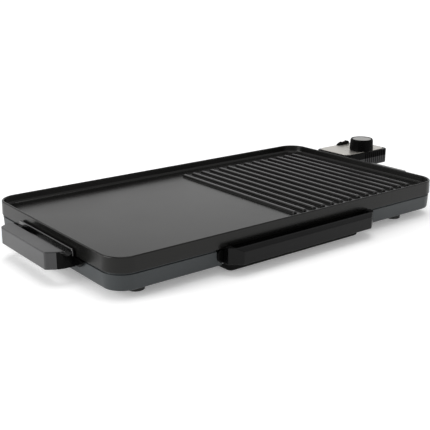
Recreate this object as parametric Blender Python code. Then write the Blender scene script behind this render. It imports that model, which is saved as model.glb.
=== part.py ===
"""Electric table griddle: a coated cooking plate on a plastic base, a drip tray and a plug-in thermostat.

Metres, +Z up. Pieces are drawn about the middle of the plate, with the table top at Z = 0. The empty
"plate_centre" then moves them all, so that the origin is under the middle of the whole object's box.
+X is the long side, towards the thermostat. The drip tray pulls out towards -Y.
"""

from math import cos, pi, radians, sin

import bmesh
import bpy
from mathutils import Matrix, Vector

MM = 0.001

# Driving dimensions
PLATE_LENGTH = 490 * MM
PLATE_WIDTH = 274 * MM
PLATE_CORNER = 25 * MM
FOOT_HEIGHT = 9.1 * MM
SEAM_TOP = 28.7 * MM
SEAM_GAP = 0.8 * MM
RIM_TOP = 45.5 * MM
WELL_DEPTH = 10 * MM
FLOOR_THICKNESS = 4 * MM
LEFT_REACH = 275 * MM
RIGHT_REACH = 338 * MM
FRONT_REACH = 155 * MM
GAP = 0.3 * MM

# Worked out from them
HALF_X = PLATE_LENGTH / 2
HALF_Y = PLATE_WIDTH / 2
COOKING_TOP = RIM_TOP - WELL_DEPTH
PLATE_UNDERSIDE = COOKING_TOP - FLOOR_THICKNESS
BASE_TOP = SEAM_TOP - SEAM_GAP
BASE_FLOOR = FOOT_HEIGHT + 2.2 * MM
PLATE_CENTRE = Vector(((LEFT_REACH - RIGHT_REACH) / 2, (FRONT_REACH - HALF_Y) / 2, 0))

# Ribs on the right half of the cooking surface
RIB_COUNT = 14
RIB_FIRST_X = 16 * MM
RIB_PITCH = 15.5 * MM
RIB_HALF_LENGTH = 111 * MM
RIB_WIDTH = 6.6 * MM
RIB_HEIGHT = 3.2 * MM

# Drain slot at the front, over the drip tray
DRAIN_X = -5 * MM
DRAIN_Y = -124 * MM
DRAIN_LENGTH = 30 * MM
DRAIN_WIDTH = 7 * MM

# Drip tray
PAN_CENTRE_X = -5 * MM
PAN_HALF_X = 100 * MM
PAN_FRONT = -139 * MM
PAN_BACK = 43 * MM
PAN_BOTTOM = 1 * MM
PAN_RIM = 12.2 * MM
PAN_LIP = 5.3 * MM
RAIL_REACH = 7.2 * MM
RAIL_THICKNESS = 1 * MM
TRAY_WINDOW_HALF_X = 120 * MM
TRAY_WINDOW_BOTTOM = 12.5 * MM
TRAY_GRIP_HALF_X = 112 * MM
TRAY_GRIP_TOP = 30.6 * MM

# Grab handles, measured out from the plate's wall
HANDLE_REACH = 30 * MM
HANDLE_BAR_DEPTH = 16.2 * MM
HANDLE_TOP = 37 * MM
HANDLE_BOTTOM = 17.6 * MM
LEFT_GRIP_HALF = 52 * MM
RIGHT_GRIP_HALF = 30 * MM
RIGHT_GRIP_Y = -30 * MM

HANDLE_SCREW_Z = 23.5 * MM
ARM_WIDTH = 10 * MM

# Heating, under the plate
ELEMENT_RADIUS = 3.4 * MM
ELEMENT_FRONT = -84 * MM
ELEMENT_BACK = 88 * MM
ELEMENT_LEFT = -204 * MM
ELEMENT_RIGHT = 180 * MM
REFLECTOR_BOTTOM = 14.8 * MM
REFLECTOR_LEFT = -224 * MM
REFLECTOR_RIGHT = 188 * MM
REFLECTOR_HALF_Y = 100 * MM

# Plug socket under the plate's right edge
PLUG_Y = 57.5 * MM
PLUG_Z = 21.4 * MM
PIN_SPACING = 12 * MM
PIN_RADIUS = 2.9 * MM
PIN_START = 207.4 * MM
PIN_LENGTH = 32.5 * MM
PROBE_RADIUS = 3 * MM
PROBE_START = 176 * MM
PROBE_END = 262 * MM
GUARD_START = 213 * MM
GUARD_END = 241 * MM
GUARD_HALF_Y = 23.7 * MM
GUARD_BOTTOM = 14.2 * MM
GUARD_TOP = 28.2 * MM
GUARD_WALL = 1.2 * MM

# Plug-in thermostat
NOSE_START = 228 * MM
NOSE_HALF_Y = 21.5 * MM
STEP_BOTTOM = PLUG_Z - 6.2 * MM
SLEEVE_START = 229 * MM
SLEEVE_END = 254 * MM
CASE_WALL = 2 * MM
CASE_HALF_Y = 31.5 * MM
CASE_START = 247 * MM
CASE_SPLIT = 36 * MM
CASE_TOP = 45.2 * MM
CASE_BOTTOM = 24 * MM
PANEL_TOP = 46.2 * MM
DIAL_X = 293 * MM
DIAL_Y = 40 * MM
DIAL_BASE = PANEL_TOP + 0.6 * MM
DIAL_HEIGHT = 17 * MM
DIAL_RADIUS = 17.5 * MM
SHAFT_RADIUS = 3 * MM
GLAND_X = 302 * MM

# Fixings
FOOT_RADIUS = 9.5 * MM
FOOT_PLACES = ((-206 * MM, -113 * MM), (-206 * MM, 113 * MM), (185 * MM, -115 * MM), (185 * MM, 115 * MM))
POST_PLACES = ((-188 * MM, -112 * MM), (-188 * MM, 112 * MM), (212 * MM, -112 * MM), (212 * MM, 112 * MM))
POST_RADIUS = 4.5 * MM
SCREW_RADIUS = 1.6 * MM
SCREW_HEAD_RADIUS = 3.6 * MM

CORNER_STEPS = 7
ROUND = 24


def clear_scene():
    for item in list(bpy.data.objects):
        bpy.data.objects.remove(item, do_unlink=True)


def make_finish(name, colour, roughness, metallic):
    """A plain Principled finish."""
    finish = bpy.data.materials.new(name)
    finish.use_nodes = True
    shader = finish.node_tree.nodes["Principled BSDF"]
    shader.inputs["Base Color"].default_value = (*colour, 1)
    shader.inputs["Roughness"].default_value = roughness
    shader.inputs["Metallic"].default_value = metallic
    return finish


# Shapes

def rounded_outline(low_x, high_x, low_y, high_y, radius, steps=CORNER_STEPS):
    """A rectangle with round corners, anticlockwise."""
    points = []
    right_corners = ((high_x, low_y, 1, -1), (high_x, high_y, 1, 1))
    left_corners = ((low_x, high_y, -1, 1), (low_x, low_y, -1, -1))
    corners = right_corners + left_corners
    for turn, (x, y, side_x, side_y) in enumerate(corners):
        for step in range(steps + 1):
            angle = pi / 2 * (turn - 1 + step / steps)
            points.append((
                x - side_x * radius + radius * cos(angle),
                y - side_y * radius + radius * sin(angle),
            ))
    return points


def plate_outline(inset):
    """The plate's own outline, moved in by inset all round."""
    return rounded_outline(
        inset - HALF_X, HALF_X - inset, inset - HALF_Y, HALF_Y - inset, max(PLATE_CORNER - inset, 3 * MM),
    )


def level(outline, z):
    return [(x, y, z) for x, y in outline]


def circle(radius, centre, axis="Z", segments=ROUND):
    """Points of a circle about an axis through centre."""
    points = []
    for step in range(segments):
        angle = 2 * pi * step / segments
        across, up = radius * cos(angle), radius * sin(angle)
        offset = {"X": (0, across, up), "Y": (up, 0, across), "Z": (across, up, 0)}[axis]
        points.append(tuple(c + o for c, o in zip(centre, offset)))
    return points


def body(name, rings, finish, looped=False, round_piece=True):
    """A closed body through rings of equal length: capped at both ends, or looped back to the first."""
    shape = bmesh.new()
    loops = [[shape.verts.new(point) for point in ring] for ring in rings]
    pairs = list(zip(loops, loops[1:]))
    if looped:
        pairs.append((loops[-1], loops[0]))
    else:
        shape.faces.new(loops[0])
        shape.faces.new(loops[-1])
    for first, second in pairs:
        for step in range(len(first)):
            after = (step + 1) % len(first)
            shape.faces.new((first[step], first[after], second[after], second[step]))
    bmesh.ops.recalc_face_normals(shape, faces=shape.faces)
    mesh = bpy.data.meshes.new(name)
    shape.to_mesh(mesh)
    shape.free()
    if round_piece:
        mesh.shade_smooth()
        mesh.set_sharp_from_angle(angle=radians(35))
    piece = bpy.data.objects.new(name, mesh)
    bpy.context.scene.collection.objects.link(piece)
    mesh.materials.append(finish)
    return piece


def prism(name, outline, axis, start, end, finish):
    """An outline pushed along an axis. Its two numbers are the other two axes, in X, Y, Z order."""
    place = {
        "X": lambda a, b, along: (along, a, b),
        "Y": lambda a, b, along: (a, along, b),
        "Z": lambda a, b, along: (a, b, along),
    }[axis]
    rings = [[place(a, b, along) for a, b in outline] for along in (start, end)]
    return body(name, rings, finish, round_piece=False)


def block(name, low, high, finish):
    outline = [(low[0], low[1]), (high[0], low[1]), (high[0], high[1]), (low[0], high[1])]
    return prism(name, outline, "Z", low[2], high[2], finish)


def turned(name, profile, centre, axis, finish, looped=False, segments=ROUND):
    """A profile of (radius, distance along the axis) turned about the axis through centre."""
    along = Vector({"X": (1, 0, 0), "Y": (0, 1, 0), "Z": (0, 0, 1)}[axis])
    rings = [circle(radius, Vector(centre) + along * reach, axis, segments) for radius, reach in profile]
    return body(name, rings, finish, looped)


def combine(target, tool, operation):
    """Join tool to target, or cut it away, and drop it."""
    change = target.modifiers.new("change", "BOOLEAN")
    change.operation = operation
    change.object = tool
    bpy.context.view_layer.update()
    result = target.evaluated_get(bpy.context.evaluated_depsgraph_get())
    mesh = bpy.data.meshes.new_from_object(result)
    target.modifiers.clear()
    target.data = mesh
    bpy.data.objects.remove(tool, do_unlink=True)
    return target


def join(target, tool):
    return combine(target, tool, "UNION")


def cut(target, tool):
    return combine(target, tool, "DIFFERENCE")


def screw(name, head, along, length, axis, finish):
    """A pan-head screw. head is the underside of its head, and along is +1 or -1 on the axis."""
    profile = (
        (SCREW_HEAD_RADIUS * 0.55, -2.0 * MM * along),
        (SCREW_HEAD_RADIUS, -1.2 * MM * along),
        (SCREW_HEAD_RADIUS, 0),
        (SCREW_RADIUS, 0.01 * MM * along),
        (SCREW_RADIUS, (length - 1 * MM) * along),
        (SCREW_RADIUS * 0.4, length * along),
    )
    return turned(name, profile, head, axis, finish, segments=12)


# Cooking plate and base

def make_rib(x):
    """One raised rib with a round top and falling ends, sunk a little into the floor it joins."""
    sections = ((1.0, 0.45, 0.35), (0.992, 0.8, 0.8), (0.975, 1.0, 1.0))
    stations = [(-reach, wide, tall) for reach, wide, tall in sections]
    stations += [(reach, wide, tall) for reach, wide, tall in reversed(sections)]
    half_section = ((1.0, -0.3), (0.94, 0.45), (0.6, 0.88), (0.0, 1.0))
    rings = []
    for reach, wide, tall in stations:
        right = [(across * wide, up * tall if up > 0 else up) for across, up in half_section]
        left = [(-across, up) for across, up in reversed(right[:-1])]
        rings.append([
            (x + across * RIB_WIDTH / 2, reach * RIB_HALF_LENGTH, COOKING_TOP + up * RIB_HEIGHT)
            for across, up in right + left
        ])
    return rings


def make_cooking_plate(finish):
    """Cast plate: a well inside a rounded rim, with a skirt that hangs down to the seam."""
    sections = (
        (4.6, PLATE_UNDERSIDE),
        (3.6, PLATE_UNDERSIDE - 0.7 * MM),
        (3.0, SEAM_TOP + 0.3 * MM),
        (2.7, SEAM_TOP),
        (0.5, SEAM_TOP),
        (0.0, SEAM_TOP + 0.5 * MM),
        (0.4, RIM_TOP - 1.6 * MM),
        (0.8, RIM_TOP - 0.5 * MM),
        (1.7, RIM_TOP),
        (2.7, RIM_TOP - 0.5 * MM),
        (3.2, RIM_TOP - 1.6 * MM),
        (4.4, COOKING_TOP + 3.2 * MM),
        (5.2, COOKING_TOP + 1.2 * MM),
        (6.6, COOKING_TOP + 0.25 * MM),
        (8.4, COOKING_TOP),
    )
    plate = body("cooking_plate", [level(plate_outline(inset * MM), z) for inset, z in sections], finish)
    for number in range(RIB_COUNT):
        rings = make_rib(RIB_FIRST_X + number * RIB_PITCH)
        join(plate, body("rib", rings, finish))
    collar = rounded_outline(
        DRAIN_X - DRAIN_LENGTH / 2 - 2 * MM, DRAIN_X + DRAIN_LENGTH / 2 + 2 * MM,
        DRAIN_Y - DRAIN_WIDTH / 2 - 2 * MM, DRAIN_Y + DRAIN_WIDTH / 2 + 2 * MM, 5 * MM, 3,
    )
    join(plate, prism("collar", collar, "Z", SEAM_TOP - 1 * MM, PLATE_UNDERSIDE + 1 * MM, finish))
    slot = rounded_outline(
        DRAIN_X - DRAIN_LENGTH / 2, DRAIN_X + DRAIN_LENGTH / 2,
        DRAIN_Y - DRAIN_WIDTH / 2, DRAIN_Y + DRAIN_WIDTH / 2, DRAIN_WIDTH / 2 - 0.1 * MM, 3,
    )
    cut(plate, prism("slot", slot, "Z", SEAM_TOP - 5 * MM, RIM_TOP, finish))
    for x, y in POST_PLACES:
        post = ((POST_RADIUS, 24.2 * MM), (POST_RADIUS, PLATE_UNDERSIDE + 1 * MM))
        join(plate, turned("post", post, (x, y, 0), "Z", finish, segments=16))
        hole = ((SCREW_RADIUS + GAP, 20 * MM), (SCREW_RADIUS + GAP, PLATE_UNDERSIDE - 0.5 * MM))
        cut(plate, turned("hole", hole, (x, y, 0), "Z", finish, segments=12))
    return plate


def cut_tray_window(base, finish):
    """The front wall's window, and the opening in the floor that the tray hangs in."""
    above = BASE_TOP + 20 * MM
    window = rounded_outline(-TRAY_WINDOW_HALF_X, TRAY_WINDOW_HALF_X, TRAY_WINDOW_BOTTOM, above, 8 * MM, 4)
    cut(base, prism("window", window, "Y", -HALF_Y - 5 * MM, -HALF_Y + 9 * MM, finish))
    low_x = PAN_CENTRE_X - PAN_HALF_X - RAIL_REACH
    high_x = PAN_CENTRE_X + PAN_HALF_X + RAIL_REACH
    low = (low_x, -HALF_Y - 5 * MM, 0)
    high = (high_x, PAN_BACK + 3 * MM, TRAY_WINDOW_BOTTOM + 3 * MM)
    cut(base, block("opening", low, high, finish))


def make_base_shell(finish):
    """Moulded base: floor, drafted wall, posts for the screws, and openings for tray, plug and air."""
    sections = (
        (4.6, FOOT_HEIGHT),
        (2.7, FOOT_HEIGHT + 0.5 * MM),
        (1.9, FOOT_HEIGHT + 1.6 * MM),
        (1.0, BASE_TOP),
        (3.2, BASE_TOP),
        (4.1, BASE_FLOOR + 1.2 * MM),
        (5.6, BASE_FLOOR),
    )
    base = body("base_shell", [level(plate_outline(inset * MM), z) for inset, z in sections], finish)
    for x, y in POST_PLACES:
        boss = ((6.5 * MM, BASE_FLOOR - 1 * MM), (6 * MM, 23.8 * MM))
        join(base, turned("boss", boss, (x, y, 0), "Z", finish, segments=16))
        bore = ((SCREW_RADIUS + GAP, 0), (SCREW_RADIUS + GAP, 30 * MM))
        cut(base, turned("bore", bore, (x, y, 0), "Z", finish, segments=12))
        pocket = ((SCREW_HEAD_RADIUS + GAP, 0), (SCREW_HEAD_RADIUS + GAP, 13 * MM))
        cut(base, turned("pocket", pocket, (x, y, 0), "Z", finish, segments=16))
    for x in (-150 * MM, 128 * MM):
        for y in (-80 * MM, 80 * MM):
            pillar = ((5 * MM, BASE_FLOOR - 1 * MM), (4 * MM, 14.4 * MM))
            join(base, turned("pillar", pillar, (x, y, 0), "Z", finish, segments=12))
    for x, y in FOOT_PLACES:
        hole = ((2.6 * MM, 0), (2.6 * MM, 16 * MM))
        cut(base, turned("foot_hole", hole, (x, y, 0), "Z", finish, segments=12))
    cut_tray_window(base, finish)
    clear_half_y = GUARD_HALF_Y + 0.9 * MM
    low = (HALF_X - 9 * MM, PLUG_Y - clear_half_y, GUARD_BOTTOM - 0.5 * MM)
    high = (HALF_X + 5 * MM, PLUG_Y + clear_half_y, RIM_TOP)
    cut(base, block("plug_way", low, high, finish))
    for x in (-190 * MM, -160 * MM, 140 * MM, 175 * MM):
        vent = rounded_outline(x - 2 * MM, x + 2 * MM, -45 * MM, 45 * MM, 1.9 * MM, 2)
        cut(base, prism("vent", vent, "Z", 0, 13 * MM, finish))
    for wall, middle, half in ((-1, 0, LEFT_GRIP_HALF), (1, RIGHT_GRIP_Y, RIGHT_GRIP_HALF)):
        for y in handle_screw_rows(middle, half):
            bore = ((SCREW_RADIUS + GAP, -9 * MM), (SCREW_RADIUS + GAP, 9 * MM))
            cut(base, turned("bore", bore, (wall * HALF_X, y, HANDLE_SCREW_Z), "X", finish, segments=12))
    return base


def make_foot(name, place, finish):
    """Round rubber foot, held by a bulb pressed through the floor."""
    profile = (
        (FOOT_RADIUS - 1.2 * MM, 0),
        (FOOT_RADIUS - 0.3 * MM, 0.6 * MM),
        (FOOT_RADIUS, FOOT_HEIGHT - GAP),
        (2.2 * MM, FOOT_HEIGHT - GAP + 0.01 * MM),
        (2.2 * MM, BASE_FLOOR + 0.5 * MM),
        (3.1 * MM, BASE_FLOOR + 0.9 * MM),
        (1.6 * MM, BASE_FLOOR + 2.6 * MM),
    )
    return turned(name, profile, (*place, 0), "Z", finish, segments=20)


# Heating

def make_heat_reflector(finish):
    """Thin pressed tray that throws the element's heat up at the plate."""
    sections = ((1.6, 0), (0.2, 0.8), (0.0, 5.0), (0.8, 5.0), (1.0, 1.3), (2.2, 0.8))
    rings = []
    for inset, up in sections:
        inset *= MM
        outline = rounded_outline(
            REFLECTOR_LEFT + inset, REFLECTOR_RIGHT - inset,
            inset - REFLECTOR_HALF_Y, REFLECTOR_HALF_Y - inset, 14 * MM - inset, 4,
        )
        rings.append(level(outline, REFLECTOR_BOTTOM + up * MM))
    reflector = body("heat_reflector", rings, finish)
    notch_low = (140 * MM, PLUG_Y - 17 * MM, 10 * MM)
    notch_high = (200 * MM, PLUG_Y + 17 * MM, 30 * MM)
    return cut(reflector, block("notch", notch_low, notch_high, finish))


def rounded_path(corners, radius, steps=4):
    """Corner points with each inner corner replaced by a smooth bend."""
    path = [Vector(corners[0])]
    for before, corner, after in zip(corners, corners[1:], corners[2:]):
        before, corner, after = Vector(before), Vector(corner), Vector(after)
        reach = min(radius, (before - corner).length / 2.2, (after - corner).length / 2.2)
        start = corner + (before - corner).normalized() * reach
        end = corner + (after - corner).normalized() * reach
        for step in range(steps + 1):
            t = step / steps
            path.append(start * (1 - t) ** 2 + corner * (2 * t * (1 - t)) + end * t ** 2)
    path.append(Vector(corners[-1]))
    return path


def make_heating_element(finish):
    """Sheathed tubular element, one loop close under the plate, its ends bent down to the plug pins."""
    high = PLATE_UNDERSIDE - GAP - ELEMENT_RADIUS
    near, far = PLUG_Y - PIN_SPACING, PLUG_Y + PIN_SPACING
    end = PIN_START - GAP
    corners = [
        (end, far, PLUG_Z),
        (end - 11 * MM, far, PLUG_Z),
        (ELEMENT_RIGHT + 6 * MM, far + 4 * MM, high),
        (ELEMENT_RIGHT - 8 * MM, ELEMENT_BACK, high),
        (ELEMENT_LEFT, ELEMENT_BACK, high),
        (ELEMENT_LEFT, ELEMENT_FRONT, high),
        (ELEMENT_RIGHT, ELEMENT_FRONT, high),
        (ELEMENT_RIGHT, near - 8 * MM, high),
        (ELEMENT_RIGHT + 8 * MM, near, high),
        (end - 11 * MM, near, PLUG_Z),
        (end, near, PLUG_Z),
    ]
    curve = bpy.data.curves.new("heating_element", "CURVE")
    curve.dimensions = "3D"
    curve.bevel_depth = ELEMENT_RADIUS
    curve.bevel_resolution = 2
    curve.use_fill_caps = True
    path = rounded_path(corners, 34 * MM)
    spline = curve.splines.new("POLY")
    spline.points.add(len(path) - 1)
    for point, place in zip(spline.points, path):
        point.co = (*place, 1)
    curve.materials.append(finish)
    element = bpy.data.objects.new("heating_element", curve)
    bpy.context.scene.collection.objects.link(element)
    return element


def make_element_clamp(name, x, y, finish):
    """Sheet strap under the element's tube, with its feet against the plate's underside."""
    drop = 8.3
    section = (
        (-12, 0), (-12, -1), (-5.4, -1), (-4.6, -drop), (4.6, -drop), (5.4, -1),
        (12, -1), (12, 0), (4.4, 0), (3.8, 1 - drop), (-3.8, 1 - drop), (-4.4, 0),
    )
    high = PLATE_UNDERSIDE - GAP
    half_width = 6 * MM
    outline = [(y + across * MM, high + up * MM) for across, up in section]
    return prism(name, outline, "X", x - half_width, x + half_width, finish)


def make_plug_socket(finishes):
    """What the thermostat plugs into: guard, pins with their insulators, and the probe's block."""
    steel, ceramic, aluminium = finishes
    low = Vector((GUARD_START, PLUG_Y - GUARD_HALF_Y, GUARD_BOTTOM))
    high = Vector((GUARD_END, PLUG_Y + GUARD_HALF_Y, GUARD_TOP))
    guard = block("socket_guard", low, high, steel)
    inside = Vector((GUARD_WALL, GUARD_WALL, GUARD_WALL))
    open_end = Vector((20 * MM, 0, 0))
    cut(guard, block("hollow", low + inside, high - inside + open_end, steel))
    for side, radius in ((-1, 4.7 * MM), (0, 4.2 * MM), (1, 4.7 * MM)):
        centre = (GUARD_START, PLUG_Y + side * PIN_SPACING, PLUG_Z)
        hole = ((radius, -5 * MM), (radius, 5 * MM))
        cut(guard, turned("hole", hole, centre, "X", steel, segments=16))
    pieces = [guard]
    for name, side in (("front", -1), ("back", 1)):
        centre = (PIN_START, PLUG_Y + side * PIN_SPACING, PLUG_Z)
        pin = ((PIN_RADIUS, 0), (PIN_RADIUS, PIN_LENGTH - 1.5 * MM), (PIN_RADIUS - 0.9 * MM, PIN_LENGTH))
        pieces.append(turned(f"terminal_pin_{name}", pin, centre, "X", steel, segments=16))
        inner, outer = PIN_RADIUS + GAP, 4.4 * MM
        ring = ((inner, 3 * MM), (outer, 3 * MM), (outer, 10 * MM), (inner, 10 * MM))
        insulator = turned(f"pin_insulator_{name}", ring, centre, "X", ceramic, looped=True, segments=16)
        pieces.append(insulator)
    low = (PROBE_START - 4 * MM, PLUG_Y - 7 * MM, PLUG_Z - 5 * MM)
    high = (GUARD_START - 0.6 * MM, PLUG_Y + 7 * MM, PLATE_UNDERSIDE - GAP)
    probe_block = block("probe_block", low, high, aluminium)
    bore = ((PROBE_RADIUS + 0.6 * MM, 0), (PROBE_RADIUS + 0.6 * MM, 60 * MM))
    centre = (PROBE_START - 2 * MM, PLUG_Y, PLUG_Z)
    cut(probe_block, turned("bore", bore, centre, "X", aluminium, segments=16))
    pieces.append(probe_block)
    return pieces


# Grab handles


def handle_screw_rows(middle, half):
    return middle - half - ARM_WIDTH / 2, middle + half + ARM_WIDTH / 2


def make_handle(name, wall, middle, half, finish, steel):
    """A grab handle on the plate's left (wall = -1) or right (+1): moulding, top cover and two screws."""
    def out(distance):
        return wall * (HALF_X + distance)

    def plan(points):
        return [(out(distance), middle + along) for distance, along in points]

    chamfer, corner, nick = 7 * MM, 19.7 * MM, 1 * MM
    cover_low = HANDLE_TOP - 2.2 * MM
    inner = HANDLE_REACH - HANDLE_BAR_DEPTH
    arm = half + ARM_WIDTH
    back_half = [
        (HANDLE_REACH, half - nick), (HANDLE_REACH - nick, half + 0.7 * nick),
        (corner, half + chamfer), (inner, arm - nick),
    ]
    bar = [(distance, -along) for distance, along in reversed(back_half)] + back_half
    outline = plan([(0.4 * MM, -arm), *bar, (0.4 * MM, arm)])
    grip = prism(name, outline, "Z", HANDLE_BOTTOM, cover_low - GAP, finish)
    low, high = sorted((out(2.4 * MM), out(inner)))
    slot = rounded_outline(low, high, middle - half, middle + half, 4 * MM, 3)
    cut(grip, prism("slot", slot, "Z", 0, 60 * MM, finish))
    saddle = ((7.5 * MM, -2 * half), (7.5 * MM, 2 * half))
    cut(grip, turned("saddle", saddle, (out(9.2 * MM), middle, HANDLE_TOP + 1 * MM), "Y", finish))
    front, back = middle - arm, middle + arm
    flange = [(front, SEAM_TOP), (back, SEAM_TOP), (back, HANDLE_TOP), (front, HANDLE_TOP)]
    join(grip, prism("flange", flange, "X", *sorted((out(0.4 * MM), out(2.4 * MM))), finish))
    root = [
        (middle - half - 20 * MM, 20 * MM), (middle + half + 20 * MM, 20 * MM),
        (middle + half + 30 * MM, BASE_TOP), (middle - half - 30 * MM, BASE_TOP),
    ]
    join(grip, prism("root", root, "X", *sorted((out(-0.6 * MM), out(2 * MM))), finish))
    pieces = [grip]
    cover = plan(bar)
    middle_x = out((inner + HANDLE_REACH) / 2)
    rings = []
    for z, shrink in ((cover_low, 0), (HANDLE_TOP - 0.7 * MM, 0), (HANDLE_TOP, 0.7 * MM)):
        narrow, short = shrink / (HANDLE_BAR_DEPTH / 2), shrink / arm
        rings.append([(x + (middle_x - x) * narrow, y + (middle - y) * short, z) for x, y in cover])
    pieces.append(body(f"{name}_cover", rings, finish, round_piece=False))
    for label, y in zip(("front", "back"), handle_screw_rows(middle, half)):
        hole = ((SCREW_RADIUS + GAP, -4 * MM * wall), (SCREW_RADIUS + GAP, 8 * MM * wall))
        cut(grip, turned("hole", hole, (wall * HALF_X, y, HANDLE_SCREW_Z), "X", finish, segments=12))
        head = (out(-4.6 * MM), y, HANDLE_SCREW_Z)
        pieces.append(screw(f"{name}_screw_{label}", head, wall, 10.5 * MM, "X", steel))
    return pieces


# Drip tray

def make_drip_tray(finish, plastic, steel):
    """The pan, the panel that fills the base's window, and the grip in front of it."""
    low_x, high_x = PAN_CENTRE_X - PAN_HALF_X, PAN_CENTRE_X + PAN_HALF_X
    sections = (
        (3.0, PAN_BOTTOM), (1.0, PAN_BOTTOM + 0.6 * MM),
        (0.0, PAN_BOTTOM + 2.4 * MM), (0.0, PAN_RIM - 1.2 * MM),
        (-PAN_LIP / MM, PAN_RIM - 1.2 * MM), (-PAN_LIP / MM, PAN_RIM), (1.2, PAN_RIM),
        (1.4, PAN_BOTTOM + 2.6 * MM), (3.4, PAN_BOTTOM + 1.2 * MM),
    )
    rings = []
    for inset, z in sections:
        inset *= MM
        end = max(inset, 0)
        front, back = PAN_FRONT + end, PAN_BACK - end
        radius = 5 * MM - inset / 2
        rings.append(level(rounded_outline(low_x + inset, high_x - inset, front, back, radius, 4), z))
    pan = body("drip_tray", rings, finish)

    front = -HALF_Y + 1.5 * MM
    clear = 1.4 * MM
    panel = rounded_outline(-TRAY_WINDOW_HALF_X + clear, TRAY_WINDOW_HALF_X - clear,
                            TRAY_WINDOW_BOTTOM + 0.5 * MM, BASE_TOP - 0.6 * MM, 6 * MM, 4)
    tray_front = prism("tray_front", panel, "Y", front, front + 3 * MM, plastic)

    grip_bottom = PAN_RIM + GAP
    outline = [
        (-TRAY_GRIP_HALF_X, front - GAP), (-TRAY_GRIP_HALF_X, -145 * MM), (-98.5 * MM, -FRONT_REACH),
        (98.5 * MM, -FRONT_REACH), (TRAY_GRIP_HALF_X, -145 * MM), (TRAY_GRIP_HALF_X, front - GAP),
    ]
    grip = prism("tray_handle", outline, "Z", grip_bottom, TRAY_GRIP_TOP, plastic)
    wall_clear = [(-HALF_Y - 0.8 * MM, BASE_TOP - 1 * MM), (-HALF_Y + 9 * MM, BASE_TOP - 1 * MM),
                  (-HALF_Y + 9 * MM, 50 * MM), (-HALF_Y - 0.8 * MM, 50 * MM)]
    cut(grip, prism("wall_clear", wall_clear, "X", -140 * MM, 140 * MM, plastic))
    bevel = [(-FRONT_REACH - 1 * MM, 26.5 * MM), (-149.6 * MM, TRAY_GRIP_TOP + 0.1 * MM),
             (-149.6 * MM, 40 * MM), (-FRONT_REACH - 1 * MM, 40 * MM)]
    cut(grip, prism("bevel", bevel, "X", -140 * MM, 140 * MM, plastic))
    hollow = rounded_outline(-104 * MM, 104 * MM, -147.6 * MM, front - 2 * MM, 3 * MM, 3)
    cut(grip, prism("hollow", hollow, "Z", 16 * MM, 50 * MM, plastic))
    pieces = [pan, tray_front, grip]
    for label, x in (("left", -80 * MM), ("right", 80 * MM)):
        for piece in (tray_front, grip):
            hole = ((SCREW_RADIUS + GAP, -1.6 * MM), (SCREW_RADIUS + GAP, 20 * MM))
            cut(piece, turned("hole", hole, (x, front - 2 * MM, 21 * MM), "Y", plastic, segments=12))
        head = (x, front + 3 * MM + GAP, 21 * MM)
        pieces.append(screw(f"tray_screw_{label}", head, -1, 6 * MM, "Y", steel))
    return pieces


def make_rails(finish):
    """Two formed rails beside the floor's opening, which carry the pan's lips."""
    pieces = []
    for label, side in (("left", -1), ("right", 1)):
        wall = PAN_CENTRE_X + side * (PAN_HALF_X + RAIL_REACH - GAP)
        outline = [
            (wall, 8.9 * MM), (wall, BASE_FLOOR + GAP), (wall + side * 9 * MM, BASE_FLOOR + GAP),
            (wall + side * 9 * MM, BASE_FLOOR + GAP + RAIL_THICKNESS),
            (wall - side * RAIL_THICKNESS, BASE_FLOOR + GAP + RAIL_THICKNESS),
            (wall - side * RAIL_THICKNESS, 8.9 * MM + RAIL_THICKNESS),
            (wall - side * 5.6 * MM, 8.9 * MM + RAIL_THICKNESS), (wall - side * 5.6 * MM, 8.9 * MM),
        ]
        pieces.append(prism(f"tray_rail_{label}", outline, "Y", -HALF_Y + 7 * MM, PAN_BACK, finish))
    return pieces


# Plug-in thermostat

def case_outline(inset):
    return rounded_outline(CASE_START + inset, RIGHT_REACH - inset, PLUG_Y - CASE_HALF_Y + inset,
                           PLUG_Y + CASE_HALF_Y - inset, 8 * MM - inset, 5)


def gland_way(piece, finish):
    hole = ((4.4 * MM, -9 * MM), (4.4 * MM, 4 * MM))
    centre = (GLAND_X, PLUG_Y + CASE_HALF_Y, CASE_SPLIT)
    return cut(piece, turned("gland_way", hole, centre, "Y", finish, segments=16))


def shaft_way(piece, finish):
    hole = ((SHAFT_RADIUS + 0.6 * MM, 0), (SHAFT_RADIUS + 0.6 * MM, 60 * MM))
    return cut(piece, turned("shaft_way", hole, (DIAL_X, DIAL_Y, 0), "Z", finish, segments=16))


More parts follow.
